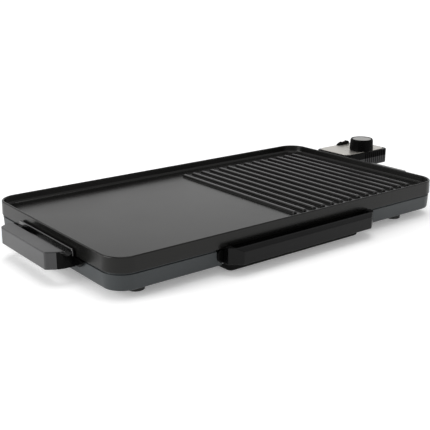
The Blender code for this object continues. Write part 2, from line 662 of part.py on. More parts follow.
def make_lower_case(finish):
    """Lower half. It steps down at the plate, where its nose enters the socket's guard."""
    front, back = PLUG_Y - CASE_HALF_Y, PLUG_Y + CASE_HALF_Y
    lower = body("controller_case_lower", [
        level(case_outline(1.4 * MM), CASE_BOTTOM),
        level(case_outline(0), CASE_BOTTOM + 1.4 * MM),
        level(case_outline(0), CASE_SPLIT),
    ], finish)
    step_top = CASE_BOTTOM + 2 * MM
    step = [(CASE_START, STEP_BOTTOM), (286 * MM, STEP_BOTTOM), (296 * MM, step_top), (CASE_START, step_top)]
    join(lower, prism("step", step, "Y", front + 3 * MM, back - 3 * MM, finish))
    low = (NOSE_START, PLUG_Y - NOSE_HALF_Y, STEP_BOTTOM + 1 * MM)
    high = (CASE_START + 4 * MM, PLUG_Y + NOSE_HALF_Y, PLUG_Z + 5.4 * MM)
    join(lower, block("nose", low, high, finish))
    low = (CASE_START + CASE_WALL, front + CASE_WALL, CASE_BOTTOM + CASE_WALL + 1.4 * MM)
    high = (RIGHT_REACH - CASE_WALL, back - CASE_WALL, 60 * MM)
    cut(lower, block("hollow", low, high, finish))
    low = (CASE_START - 4 * MM, PLUG_Y - NOSE_HALF_Y + CASE_WALL, STEP_BOTTOM + 1.2 * MM)
    high = (284 * MM, PLUG_Y + NOSE_HALF_Y - CASE_WALL, 40 * MM)
    cut(lower, block("step_hollow", low, high, finish))
    for side, radius in ((-1, 4.9 * MM), (0, 3.4 * MM), (1, 4.9 * MM)):
        centre = (NOSE_START, PLUG_Y + side * PIN_SPACING, PLUG_Z)
        hole = ((radius, -6 * MM), (radius, 18 * MM))
        cut(lower, turned("hole", hole, centre, "X", finish, segments=16))
    return gland_way(lower, finish)


def make_upper_case(finish):
    """Upper half, open below, with the shaft's hole."""
    upper = body("controller_case_upper", [
        level(case_outline(0), CASE_SPLIT + GAP),
        level(case_outline(0), CASE_TOP - 1 * MM),
        level(case_outline(0.8 * MM), CASE_TOP),
    ], finish)
    low = (CASE_START + CASE_WALL, PLUG_Y - CASE_HALF_Y + CASE_WALL, 20 * MM)
    high = (RIGHT_REACH - CASE_WALL, PLUG_Y + CASE_HALF_Y - CASE_WALL, CASE_TOP - CASE_WALL)
    cut(upper, block("hollow", low, high, finish))
    shaft_way(upper, finish)
    return gland_way(upper, finish)


def make_panel(finish, plastic, lens):
    """Silver top panel with its small pilot lamp at the back edge."""
    reveal = 2.6 * MM
    outer_reveal = 5.2 * MM
    outline = rounded_outline(
        CASE_START + reveal, RIGHT_REACH - outer_reveal,
        PLUG_Y - CASE_HALF_Y + reveal, PLUG_Y + CASE_HALF_Y - reveal, 9 * MM, 5,
    )
    panel = prism("control_panel", outline, "Z", CASE_TOP + GAP, PANEL_TOP, finish)
    shaft_way(panel, finish)
    base = PANEL_TOP + GAP
    hump = (
        (287, 0.0), (311.5, 0.0), (310.0, 4.4), (306.5, 5.0),
        (303.5, 3.4), (299.5, 3.4), (296.5, 4.4), (291.0, 2.6),
    )
    outline = [(x * MM, base + up * MM) for x, up in hump]
    bezel = prism("pilot_bezel", outline, "Y", 81 * MM, 86.2 * MM, plastic)
    low, high = (299.8 * MM, 82 * MM, base + 3.7 * MM), (303.2 * MM, 85.2 * MM, base + 4.5 * MM)
    lamp = block("pilot_lens", low, high, lens)
    return [panel, bezel, lamp]


def make_thermostat(finishes):
    """What the case holds: the switch, its contact sleeves, the probe, the cord's gland and two screws."""
    plastic, steel, brass, rubber = finishes
    low, high = (278 * MM, 31 * MM, 32 * MM), (322 * MM, 62 * MM, 41.6 * MM)
    switch = block("thermostat_switch", low, high, plastic)
    socket = ((SHAFT_RADIUS + GAP, 37 * MM), (SHAFT_RADIUS + GAP, 60 * MM))
    cut(switch, turned("socket", socket, (DIAL_X, DIAL_Y, 0), "Z", plastic, segments=16))
    tip_end = PROBE_START + 2 * MM
    probe = ((PROBE_RADIUS / 2, PROBE_START), (PROBE_RADIUS, tip_end), (PROBE_RADIUS, PROBE_END))
    pieces = [switch, turned("probe_rod", probe, (0, PLUG_Y, PLUG_Z), "X", steel, segments=16)]
    for label, side in (("front", -1), ("back", 1)):
        inner, outer = PIN_RADIUS + 0.4 * MM, 4.5 * MM
        sleeve = ((inner, SLEEVE_START), (outer, SLEEVE_START), (outer, SLEEVE_END), (inner, SLEEVE_END))
        centre = (0, PLUG_Y + side * PIN_SPACING, PLUG_Z)
        name = f"contact_sleeve_{label}"
        pieces.append(turned(name, sleeve, centre, "X", brass, looped=True, segments=16))
    gland = ((2.6, -4), (4.1, -4), (4.1, 0.3), (6.4, 0.31), (6.0, 3), (4.6, 9), (2.6, 9))
    gland = [(radius * MM, reach * MM) for radius, reach in gland]
    centre = (GLAND_X, PLUG_Y + CASE_HALF_Y, CASE_SPLIT)
    pieces.append(turned("cord_gland", gland, centre, "Y", rubber, looped=True, segments=16))
    for label, x in (("inner", 262 * MM), ("outer", 330 * MM)):
        head = (x, 76 * MM, CASE_BOTTOM + CASE_WALL + 3.7 * MM)
        pieces.append(screw(f"case_screw_{label}", head, 1, 9 * MM, "Z", steel))
    return pieces


def make_dial(plastic, silver, steel):
    """The temperature knob, its cap and its shaft, all turning together."""
    top = DIAL_BASE + DIAL_HEIGHT
    bore = SHAFT_RADIUS + 0.4 * MM
    recess = top - 1.4 * MM
    knob = (
        (bore, DIAL_BASE), (DIAL_RADIUS - 0.6 * MM, DIAL_BASE), (DIAL_RADIUS, DIAL_BASE + 0.8 * MM),
        (DIAL_RADIUS - 0.9 * MM, top - 1 * MM), (DIAL_RADIUS - 1.5 * MM, top), (DIAL_RADIUS - 2.4 * MM, top),
        (DIAL_RADIUS - 2.7 * MM, recess), (bore, recess),
    )
    cap_radius = DIAL_RADIUS - 3.1 * MM
    cap = (
        (cap_radius, top - 1.1 * MM), (cap_radius, top - 0.5 * MM),
        (cap_radius - 0.8 * MM, top - 0.1 * MM), (2 * MM, top),
    )
    shaft = ((SHAFT_RADIUS, 38 * MM), (SHAFT_RADIUS, recess - 0.4 * MM))
    centre = (DIAL_X, DIAL_Y, 0)
    return [
        turned("dial_knob", knob, centre, "Z", plastic, looped=True, segments=40),
        turned("dial_cap", cap, centre, "Z", silver, segments=32),
        turned("dial_shaft", shaft, centre, "Z", steel, segments=16),
    ]


# Assembly

def pivot(name, parent, place):
    """An empty that carries the pieces of one moving body. place is measured from the plate's middle."""
    empty = bpy.data.objects.new(name, None)
    bpy.context.scene.collection.objects.link(empty)
    empty.parent = parent
    empty.location = place
    return empty


def carry(empty, pieces):
    """Parent pieces to an empty and keep where they are about the plate's middle."""
    offset = empty.location if empty.parent else Vector((0, 0, 0))
    for piece in pieces:
        piece.parent = empty
        piece.matrix_parent_inverse = Matrix.Translation(-offset)


def main():
    clear_scene()
    coating = make_finish("coated_aluminium", (0.10, 0.10, 0.095), 0.42, 0.0)
    base_plastic = make_finish("base_plastic", (0.028, 0.029, 0.032), 0.38, 0.0)
    plastic = make_finish("black_plastic", (0.03, 0.03, 0.03), 0.45, 0.0)
    tray_coat = make_finish("tray_coating", (0.015, 0.015, 0.015), 0.4, 0.0)
    silver = make_finish("silver_panel", (0.52, 0.51, 0.48), 0.35, 0.7)
    rubber = make_finish("black_rubber", (0.012, 0.012, 0.012), 0.8, 0.0)
    steel = make_finish("zinc_steel", (0.55, 0.55, 0.56), 0.35, 1.0)
    sheet = make_finish("aluminium_sheet", (0.72, 0.72, 0.73), 0.3, 1.0)
    ceramic = make_finish("ceramic", (0.82, 0.8, 0.74), 0.6, 0.0)
    brass = make_finish("brass", (0.72, 0.52, 0.2), 0.3, 1.0)
    lamp = make_finish("pilot_red", (0.35, 0.02, 0.015), 0.2, 0.0)

    fixed = [make_cooking_plate(coating), make_base_shell(base_plastic), make_heat_reflector(sheet)]
    fixed.append(make_heating_element(steel))
    for row, y in (("front", ELEMENT_FRONT), ("back", ELEMENT_BACK)):
        for side, x in (("left", -120 * MM), ("right", 110 * MM)):
            fixed.append(make_element_clamp(f"element_clamp_{row}_{side}", x, y, steel))
    fixed += make_plug_socket((steel, ceramic, sheet))
    fixed += make_handle("left_handle", -1, 0, LEFT_GRIP_HALF, plastic, steel)
    fixed += make_handle("right_handle", 1, RIGHT_GRIP_Y, RIGHT_GRIP_HALF, plastic, steel)
    corners = ("front_left", "back_left", "front_right", "back_right")
    for label, place in zip(corners, FOOT_PLACES):
        fixed.append(make_foot(f"foot_{label}", place, rubber))
    for label, (x, y) in zip(corners, POST_PLACES):
        fixed.append(screw(f"base_screw_{label}", (x, y, 13 * MM - GAP), 1, 16 * MM, "Z", steel))
    fixed += make_rails(steel)

    tray = make_drip_tray(tray_coat, plastic, steel)
    controller = [make_lower_case(plastic), make_upper_case(plastic)]
    controller += make_panel(silver, plastic, lamp)
    controller += make_thermostat((plastic, steel, brass, rubber))
    dial = make_dial(plastic, silver, steel)

    centre = pivot("plate_centre", None, PLATE_CENTRE)
    carry(centre, fixed)
    carry(pivot("tray_slide", centre, (PAN_CENTRE_X, PAN_FRONT, PAN_RIM)), tray)
    carry(pivot("controller_slide", centre, (CASE_START, PLUG_Y, PLUG_Z)), controller)
    carry(pivot("dial_axis", centre, (DIAL_X, DIAL_Y, DIAL_BASE)), dial)


main()
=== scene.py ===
# %% [markdown]
# # A table griddle, piece by piece
#
# A table griddle is a coated cooking plate on a plastic base. Fat runs through a slot into a drip
# tray, and a thermostat plugs into the right side. Every size below is in millimetres from the
# middle of the plate, because that is how the maker's drawing is laid out, and one function turns
# them into metres in the shared frame.

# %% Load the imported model
from math import cos, pi, radians, sin

import bmesh
import bpy
from mathutils import Matrix, Vector


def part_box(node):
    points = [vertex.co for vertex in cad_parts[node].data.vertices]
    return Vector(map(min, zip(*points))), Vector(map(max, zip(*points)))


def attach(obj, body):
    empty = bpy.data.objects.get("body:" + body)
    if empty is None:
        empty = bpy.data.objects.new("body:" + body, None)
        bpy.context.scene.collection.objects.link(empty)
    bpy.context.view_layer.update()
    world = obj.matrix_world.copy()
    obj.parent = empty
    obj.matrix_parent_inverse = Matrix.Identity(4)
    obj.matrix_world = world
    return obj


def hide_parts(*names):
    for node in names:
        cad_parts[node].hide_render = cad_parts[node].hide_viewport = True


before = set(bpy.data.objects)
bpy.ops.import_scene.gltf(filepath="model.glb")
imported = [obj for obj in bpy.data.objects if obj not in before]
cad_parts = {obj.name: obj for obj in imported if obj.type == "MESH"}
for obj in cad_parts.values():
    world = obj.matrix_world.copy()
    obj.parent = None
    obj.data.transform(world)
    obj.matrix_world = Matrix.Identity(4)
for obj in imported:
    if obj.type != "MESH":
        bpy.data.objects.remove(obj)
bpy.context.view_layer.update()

MM = 0.001
plate_low, plate_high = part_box("cooking_plate")
plate_middle = (plate_low + plate_high) / 2
plate_middle.z = 0
half_x, half_y = (plate_high.x - plate_low.x) / 2 / MM, (plate_high.y - plate_low.y) / 2 / MM
CORNER = 25  # the radius of the plate's corners
print(f"plate {2 * half_x:.1f} x {2 * half_y:.1f} mm, rim top at {plate_high.z / MM:.1f} mm")

# %% [markdown]
# ## Shapes from outlines
#
# Most griddle parts are a rounded outline carried through a few levels, a profile turned about an
# axis, or an outline pushed straight. Each could be a primitive that is edited by hand, but a list
# of sections keeps the sizes readable and gives one closed skin.


# %% Outline and body helpers
def place(x, y, z):
    """Millimetres from the middle of the plate to metres in the shared frame."""
    return plate_middle + Vector((x, y, z)) * MM


def rounded(low_x, high_x, low_y, high_y, radius, steps=10):
    """A rectangle with round corners, anticlockwise."""
    points = []
    corners = ((high_x, low_y, 1, -1), (high_x, high_y, 1, 1), (low_x, high_y, -1, 1), (low_x, low_y, -1, -1))
    for turn, (x, y, side_x, side_y) in enumerate(corners):
        for step in range(steps + 1):
            angle = pi / 2 * (turn - 1 + step / steps)
            across, up = radius * (cos(angle) - side_x), radius * (sin(angle) - side_y)
            points.append((x + across, y + up))
    return points


def within(inset):
    """The plate's own outline, drawn in by inset."""
    return rounded(inset - half_x, half_x - inset, inset - half_y, half_y - inset, CORNER - inset)


def level(outline, z):
    return [(x, y, z) for x, y in outline]


def smooth(piece, angle=32):
    piece.data.shade_smooth()
    piece.data.set_sharp_from_angle(angle=radians(angle))
    return piece


def linked(name, data):
    """A new object in the scene."""
    made = bpy.data.objects.new(name, data)
    bpy.context.scene.collection.objects.link(made)
    return made


def skin(name, rings, looped=False):
    """A closed body through rings of equal length."""
    shape = bmesh.new()
    loops = [[shape.verts.new(place(*point)) for point in ring] for ring in rings]
    pairs = list(zip(loops, loops[1:]))
    if looped:
        pairs.append((loops[-1], loops[0]))
    else:
        shape.faces.new(loops[0])
        shape.faces.new(loops[-1])
    for first, second in pairs:
        for step in range(len(first)):
            after = (step + 1) % len(first)
            shape.faces.new((first[step], first[after], second[after], second[step]))
    bmesh.ops.recalc_face_normals(shape, faces=shape.faces)
    mesh = bpy.data.meshes.new(name)
    shape.to_mesh(mesh)
    shape.free()
    return smooth(linked(name, mesh))


def pushed(name, outline, axis, start, end):
    """An outline pushed along an axis. Its numbers are the other two axes, in X, Y, Z order."""
    lay = {
        "X": lambda a, b, along: (along, a, b),
        "Y": lambda a, b, along: (a, along, b),
        "Z": lambda a, b, along: (a, b, along),
    }[axis]
    return skin(name, [[lay(a, b, along) for a, b in outline] for along in (start, end)])


def block(name, low, high):
    outline = ((low[0], low[1]), (high[0], low[1]), (high[0], high[1]), (low[0], high[1]))
    return pushed(name, outline, "Z", low[2], high[2])


def turned(name, profile, centre=(0, 0, 0), axis="Z", looped=False, *, segments):
    """A profile of (radius, distance along the axis) turned about the axis through centre."""
    rings = []
    for radius, reach in profile:
        ring = []
        for step in range(segments):
            angle = 2 * pi * step / segments
            across, up = radius * cos(angle), radius * sin(angle)
            offset = {"X": (reach, across, up), "Y": (up, reach, across), "Z": (across, up, reach)}[axis]
            ring.append(tuple(c + o for c, o in zip(centre, offset)))
        rings.append(ring)
    return skin(name, rings, looped)


def arc(centre, radius, start, end, steps):
    """Points of an arc. radius may be one number or one for each direction."""
    wide, tall = radius if isinstance(radius, tuple) else (radius, radius)
    turns = [radians(start + (end - start) * step / steps) for step in range(steps + 1)]
    return [(centre[0] + wide * cos(turn), centre[1] + tall * sin(turn)) for turn in turns]


# %% [markdown]
# ## Joining, cutting and softening
#
# Real mouldings have no knife-sharp edges. Booleans join and cut the bodies, a Bevel rounds what is
# left sharp, and Weighted Normals keep the flat faces flat. Each change is made final at once, so
# that the next step works on plain mesh.


# %% Change helpers
def freeze(piece):
    """Make the piece's modifiers final."""
    bpy.context.view_layer.update()
    result = piece.evaluated_get(bpy.context.evaluated_depsgraph_get())
    mesh = bpy.data.meshes.new_from_object(result)
    piece.modifiers.clear()
    piece.data = mesh
    return piece


def combine(piece, tool, operation):
    change = piece.modifiers.new("change", "BOOLEAN")
    change.operation = operation
    change.object = tool
    freeze(piece)
    bpy.data.objects.remove(tool, do_unlink=True)
    return piece


def join(piece, tool):
    return combine(piece, tool, "UNION")


def cut(piece, tool):
    return combine(piece, tool, "DIFFERENCE")


def soften(piece, width, segments, angle):
    """Round every edge sharper than angle by width millimetres."""
    bevel = piece.modifiers.new("bevel", "BEVEL")
    bevel.limit_method = "ANGLE"
    bevel.angle_limit = radians(angle)
    bevel.width = width * MM
    bevel.segments = segments
    bevel.miter_outer = "MITER_ARC"
    return freeze(piece)


def corner_nodes(kind):
    """The names of the four CAD nodes of one kind, one at each corner."""
    return [f"{kind}_{end}_{side}" for end in ("front", "back") for side in ("left", "right")]


def finished(piece, finish, body, slot, *nodes, flat=34):
    """Shade the piece, give it its finish and body, and let it stand for CAD nodes.

    Edges sharper than flat degrees stay sharp and big faces stay flat. With 0 the shading is left.
    """
    if flat:
        smooth(piece, flat)
        weight = piece.modifiers.new("weight", "WEIGHTED_NORMAL")
        weight.keep_sharp = True
        freeze(piece)
    piece.data.materials.clear()
    piece.data.materials.append(finish)
    for face in piece.data.polygons:
        face.material_index = 0
    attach(piece, body)
    if nodes:
        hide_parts(*nodes)
    print(f"{piece.name}: {len(piece.data.polygons)} faces on {body}")
    return piece


# %% [markdown]
# ## Node trees by hand
#
# Geometry Nodes and shader nodes are both trees of named nodes. One helper adds a node and fills
# its sockets, either from another node's output or with a plain value.


# %% Node helper
def add(tree, kind, inputs=None, **settings):
    made = tree.nodes.new(kind)
    for key, value in settings.items():
        setattr(made, key, value)
    for key, value in (inputs or {}).items():
        socket = made.inputs[key]
        if isinstance(value, bpy.types.NodeSocket):
            tree.links.new(value, socket)
        else:
            socket.default_value = value
    return made


def geometry_tree(name, sockets):
    """A Geometry Nodes tree with named inputs. sockets is a list of (name, kind)."""
    tree = bpy.data.node_groups.new(name, "GeometryNodeTree")
    tree.interface.new_socket("Geometry", in_out="OUTPUT", socket_type="NodeSocketGeometry")
    for title, kind in sockets:
        tree.interface.new_socket(title, in_out="INPUT", socket_type=f"NodeSocket{kind}")
    return tree, add(tree, "NodeGroupInput").outputs


def close_tree(tree, geometry, finish):
    """Every tree ends in Realize Instances and Set Material."""
    real = add(tree, "GeometryNodeRealizeInstances", {"Geometry": geometry})
    painted = add(tree, "GeometryNodeSetMaterial", {"Geometry": real.outputs[0], "Material": finish})
    add(tree, "NodeGroupOutput", {"Geometry": painted.outputs[0]})


def grow(name, tree, **values):
    """Run a tree with the values of its named inputs, and keep the result as plain mesh."""
    piece = linked(name, bpy.data.meshes.new(name))
    nodes = piece.modifiers.new("nodes", "NODES")
    nodes.node_group = tree
    titles = {item.name: item.identifier for item in tree.interface.items_tree if item.in_out == "INPUT"}
    for title, value in values.items():
        nodes[titles[title.replace("_", " ")]] = value
    freeze(piece)
    for value in values.values():
        if isinstance(value, bpy.types.Object):
            bpy.data.objects.remove(value, do_unlink=True)
    print(f"{name}: {len(piece.data.polygons)} faces from {tree.name}")
    return piece


# %% [markdown]
# ## The wall that runs round a plate
#
# The plate and the base both have a wall with the same section all round a rounded rectangle. It
# could be extruded and bevelled face by face. Sweeping one section along the rectangle is the rule
# that the mould maker follows too, so a tree does it: rectangle, fillet, Curve to Mesh.

# %% Tree: swept wall
wall_tree, given = geometry_tree("swept_wall", [
    ("Length", "Float"), ("Width", "Float"), ("Corner Radius", "Float"), ("Corner Steps", "Int"),
    ("Middle", "Vector"), ("Section", "Object"), ("Finish", "Material"),
])
rectangle = add(wall_tree, "GeometryNodeCurvePrimitiveQuadrilateral", {
    "Width": given["Length"], "Height": given["Width"],
})
filleted = add(wall_tree, "GeometryNodeFilletCurve", {
    "Curve": rectangle.outputs[0], "Count": given["Corner Steps"], "Radius": given["Corner Radius"],
}, mode="POLY")
upright = add(wall_tree, "GeometryNodeSetCurveNormal", {"Curve": filleted.outputs[0]}, mode="Z_UP")
section = add(wall_tree, "GeometryNodeObjectInfo", {"Object": given["Section"]})
swept = add(wall_tree, "GeometryNodeCurveToMesh", {
    "Curve": upright.outputs[0], "Profile Curve": section.outputs["Geometry"],
})
moved = add(wall_tree, "GeometryNodeTransform", {
    "Geometry": swept.outputs[0], "Translation": given["Middle"],
})
close_tree(wall_tree, moved.outputs[0], given["Finish"])


def swept_wall(name, points, finish):
    """points is the wall's closed section as (distance in from the outline, height)."""
    curve = bpy.data.curves.new("section", "CURVE")
    spline = curve.splines.new("POLY")
    spline.points.add(len(points) - 1)
    for point, (inset, height) in zip(spline.points, points):
        point.co = (-inset * MM, -height * MM, 0, 1)
    spline.use_cyclic_u = True
    holder = linked("section", curve)
    wall = grow(
        name, wall_tree, Length=2 * half_x * MM, Width=2 * half_y * MM, Corner_Radius=CORNER * MM,
        Corner_Steps=16, Middle=plate_middle, Section=holder, Finish=finish,
    )
    shape = bmesh.new()
    shape.from_mesh(wall.data)
    bmesh.ops.remove_doubles(shape, verts=shape.verts, dist=1e-6)
    bmesh.ops.recalc_face_normals(shape, faces=shape.faces)
    shape.to_mesh(wall.data)
    shape.free()
    return wall


# %% [markdown]
# ## One shape at many places
#
# Ribs, screws, feet, vents, ticks and ridges are each one shape set down many times. Copying them
# by hand would work, but a tree that reads a list of places keeps them alike and easy to change.
# Each place also carries a turn about Z, stored on its point.

# %% Tree: one shape at many places
places_tree, given = geometry_tree("shape_at_places", [
    ("Places", "Object"), ("Shape", "Object"), ("Finish", "Material"),
])
spots = add(places_tree, "GeometryNodeObjectInfo", {"Object": given["Places"]})
shape_info = add(places_tree, "GeometryNodeObjectInfo", {"Object": given["Shape"], "As Instance": True})
turn = add(places_tree, "GeometryNodeInputNamedAttribute", {"Name": "turn"}, data_type="FLOAT")
turn_vector = add(places_tree, "ShaderNodeCombineXYZ", {"Z": turn.outputs[0]})
turn_rotation = add(places_tree, "FunctionNodeEulerToRotation", {"Euler": turn_vector.outputs[0]})
many = add(places_tree, "GeometryNodeInstanceOnPoints", {
    "Points": spots.outputs["Geometry"], "Instance": shape_info.outputs["Geometry"],
    "Rotation": turn_rotation.outputs[0],
})
close_tree(places_tree, many.outputs[0], given["Finish"])


def at_places(name, spots, shape, finish):
    """spots are (x, y), with height and turn in degrees if they matter. shape is drawn at the middle."""
    spots = [(*spot, 0, 0)[:4] for spot in spots]
    mesh = bpy.data.meshes.new("places")
    mesh.from_pydata([Vector(spot[:3]) * MM for spot in spots], [], [])
    turns = mesh.attributes.new("turn", "FLOAT", "POINT")
    for item, spot in zip(turns.data, spots):
        item.value = radians(spot[3])
    holder = linked("places", mesh)
    shape.data.transform(Matrix.Translation(-plate_middle))
    piece = grow(name, places_tree, Places=holder, Shape=shape, Finish=finish)
    piece.data.transform(Matrix.Translation(plate_middle))
    return smooth(piece)


# %% [markdown]
# ## Effects that several finishes share
#
# Moulded plastic has a fine spark-eroded grain, handled gloss varies in soft patches, a non-stick
# coating carries tiny flecks, and turned or brushed metal shows its tool marks. Each is a small
# shader group with its own named inputs, so that every finish can use it at its own scale.


# %% Shader group helper
def shader_group(name, inputs, output="Height", output_kind="Float"):
    tree = bpy.data.node_groups.new(name, "ShaderNodeTree")
    tree.interface.new_socket(output, in_out="OUTPUT", socket_type=f"NodeSocket{output_kind}")
    for title, kind, value in inputs:
        made = tree.interface.new_socket(title, in_out="INPUT", socket_type=f"NodeSocket{kind}")
        made.default_value = value
    given = add(tree, "NodeGroupInput").outputs
    where = add(tree, "ShaderNodeTexCoord").outputs["Object"]
    return tree, given, where


def noise(tree, where, scale, detail, roughness=0.5):
    inputs = {"Vector": where, "Scale": scale, "Detail": detail, "Roughness": roughness}
    return add(tree, "ShaderNodeTexNoise", inputs).outputs["Fac"]


def spread(tree, value, low, high, start=0.3, end=0.7):
    """Map value from start..end to low..high."""
    inputs = {"Value": value, "From Min": start, "From Max": end, "To Min": low, "To Max": high}
    return add(tree, "ShaderNodeMapRange", inputs).outputs[0]


def maths(tree, operation, first, second=0.0):
    return add(tree, "ShaderNodeMath", {0: first, 1: second}, operation=operation).outputs[0]


# %% Group: moulded grain
grain_group, given, where = shader_group("moulded_grain", [("Scale", "Float", 900.0)])
coarse = maths(grain_group, "MULTIPLY", given["Scale"], 0.4)
fine_noise = noise(grain_group, where, given["Scale"], 1.0)
coarse_noise = noise(grain_group, where, coarse, 2.0)
add(grain_group, "NodeGroupOutput", {"Height": maths(grain_group, "ADD", fine_noise, coarse_noise)})

# %% Group: patchy gloss
gloss_group, given, where = shader_group(
    "patchy_gloss",
    [("Roughness", "Float", 0.4), ("Spread", "Float", 0.08), ("Scale", "Float", 14.0)],
    "Roughness",
)
patch = noise(gloss_group, where, given["Scale"], 5.0, 0.6)
low = maths(gloss_group, "SUBTRACT", given["Roughness"], given["Spread"])
high = maths(gloss_group, "ADD", given["Roughness"], given["Spread"])
add(gloss_group, "NodeGroupOutput", {"Roughness": spread(gloss_group, patch, low, high)})

# %% Group: colour drift and flecks
fleck_group, given, where = shader_group(
    "flecked_colour",
    [("Colour", "Color", (0.02, 0.02, 0.02, 1)), ("Fleck Colour", "Color", (0.1, 0.1, 0.1, 1)),
     ("Flecks", "Float", 0.3), ("Scale", "Float", 700.0), ("Drift", "Float", 0.15)],
    "Color", "Color",
)
cells = add(fleck_group, "ShaderNodeTexVoronoi", {"Vector": where, "Scale": given["Scale"]})
dots = spread(fleck_group, cells.outputs["Distance"], 1.0, 0.0, 0.1, 0.35)
some = spread(fleck_group, noise(fleck_group, where, 90.0, 1.0), 0.0, 1.0, 0.45, 0.6)
mask = maths(fleck_group, "MULTIPLY", maths(fleck_group, "MULTIPLY", dots, some), given["Flecks"])
drift_noise = noise(fleck_group, where, 9.0, 4.0)
less = maths(fleck_group, "SUBTRACT", 1.0, given["Drift"])
more = maths(fleck_group, "ADD", 1.0, given["Drift"])
shade = spread(fleck_group, drift_noise, less, more)
shaded = add(fleck_group, "ShaderNodeVectorMath", {0: given["Colour"], "Scale": shade}, operation="SCALE")
FACTOR, COLOUR_A, COLOUR_B, COLOUR_OUT = 0, 6, 7, 2  # the Mix node's colour sockets
mixed = add(fleck_group, "ShaderNodeMix", {
    FACTOR: mask, COLOUR_A: shaded.outputs[0], COLOUR_B: given["Fleck Colour"],
}, data_type="RGBA")
add(fleck_group, "NodeGroupOutput", {"Color": mixed.outputs[COLOUR_OUT]})

# %% Group: rings left by turning
rings_group, given, where = shader_group(
    "turned_rings", [("Centre", "Vector", (0.0, 0.0, 0.0)), ("Pitch", "Float", 0.0006)],
)
from_centre = add(rings_group, "ShaderNodeVectorMath", {0: where, 1: given["Centre"]}, operation="SUBTRACT")
flat = add(rings_group, "ShaderNodeVectorMath", {
    0: from_centre.outputs[0], 1: (1, 1, 0),
}, operation="MULTIPLY")
reach = add(rings_group, "ShaderNodeVectorMath", {0: flat.outputs[0]}, operation="LENGTH").outputs["Value"]
turns = maths(rings_group, "DIVIDE", reach, given["Pitch"])
wave = maths(rings_group, "SINE", maths(rings_group, "MULTIPLY", turns, 2 * pi))
wander = maths(rings_group, "MULTIPLY", noise(rings_group, where, 300.0, 2.0), 0.6)
add(rings_group, "NodeGroupOutput", {"Height": maths(rings_group, "ADD", wave, wander)})

# %% Group: brushed lines along X
brushed_group, given, where = shader_group("brushed_lines", [("Scale", "Float", 2600.0)])
drawn = add(brushed_group, "ShaderNodeMapping", {"Vector": where, "Scale": (0.015, 1.0, 1.0)})
lines = noise(brushed_group, drawn.outputs[0], given["Scale"], 3.0, 0.6)
add(brushed_group, "NodeGroupOutput", {"Height": lines})
print("shader groups:", [group.name for group in bpy.data.node_groups if group.type == "SHADER"])

# %% [markdown]
# ## The finishes
#
# Every finish is one Principled shader. Its colour comes from the fleck group, its roughness from
# the gloss group, and its relief from whichever group suits how the part is made. The black parts
# are nearly black: what the eye reads as grey on them is the room, seen in their gloss. Two copies
# of the handle plastic are the exception: a darker one for the arms is painted shade, and one with
# raised reflection for the strip is a painted highlight.


# %% Finish builder
NO_FLECKS = (0.0, (0.1, 0.1, 0.1), 700.0)


def surface(name, colour, roughness, relief, metallic=0.0, gloss=(0.05, 14.0), flecks=NO_FLECKS,
            drift=0.15, bump=(0.2, 0.05), specular=0.5):
    """gloss is (spread, scale), flecks (amount, colour, scale), bump (strength, distance in mm)."""
    finish = bpy.data.materials.new(name)
    finish.use_nodes = True
    tree = finish.node_tree
    shader = tree.nodes["Principled BSDF"]
    shader.inputs["Metallic"].default_value = metallic
    shader.inputs["Specular IOR Level"].default_value = specular
    amount, fleck, fleck_scale = flecks
    colours = add(tree, "ShaderNodeGroup", {
        "Colour": (*colour, 1), "Fleck Colour": (*fleck, 1), "Flecks": amount, "Scale": fleck_scale,
        "Drift": drift,
    }, node_tree=fleck_group)
    sheen = add(tree, "ShaderNodeGroup", {
        "Roughness": roughness, "Spread": gloss[0], "Scale": gloss[1],
    }, node_tree=gloss_group)
    group, values = relief
    height = add(tree, "ShaderNodeGroup", values, node_tree=group)
    bumped = add(tree, "ShaderNodeBump", {
        "Strength": bump[0], "Distance": bump[1] * MM, "Height": height.outputs["Height"],
    })
    tree.links.new(colours.outputs["Color"], shader.inputs["Base Color"])
    tree.links.new(sheen.outputs["Roughness"], shader.inputs["Roughness"])
    tree.links.new(bumped.outputs["Normal"], shader.inputs["Normal"])
    return finish


def grain(scale):
    return grain_group, {"Scale": scale}


# %% Finishes
dial_low, dial_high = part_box("dial_cap")
dial_centre = (dial_low + dial_high) / 2
coating = surface(
    "coated_aluminium", (0.0040, 0.0040, 0.0037), 0.24, grain(600.0), gloss=(0.03, 8.0),
    flecks=(0.2, (0.012, 0.012, 0.011), 800.0), bump=(0.12, 0.05), specular=0.25)
coating.node_tree.nodes["Principled BSDF"].inputs["Specular Tint"].default_value = (1.0, 0.992, 0.975, 1)
base_plastic = surface(
    "base_plastic", (0.021, 0.025, 0.027), 0.40, grain(420.0), bump=(0.35, 0.08), specular=0.4)
handle_plastic = surface(
    "handle_plastic", (0.030, 0.030, 0.031), 0.33, grain(1000.0), bump=(0.15, 0.05), specular=0.4)
# Painted highlight: the handle strip's plastic, with its reflection raised far above the other black
# mouldings' so that its top edge shines as a bright line.
painted_highlight_flange_plastic = surface(
    "painted_highlight_flange_plastic", (0.002, 0.002, 0.002), 0.24, grain(900.0), bump=(0.05, 0.05), specular=0.9)
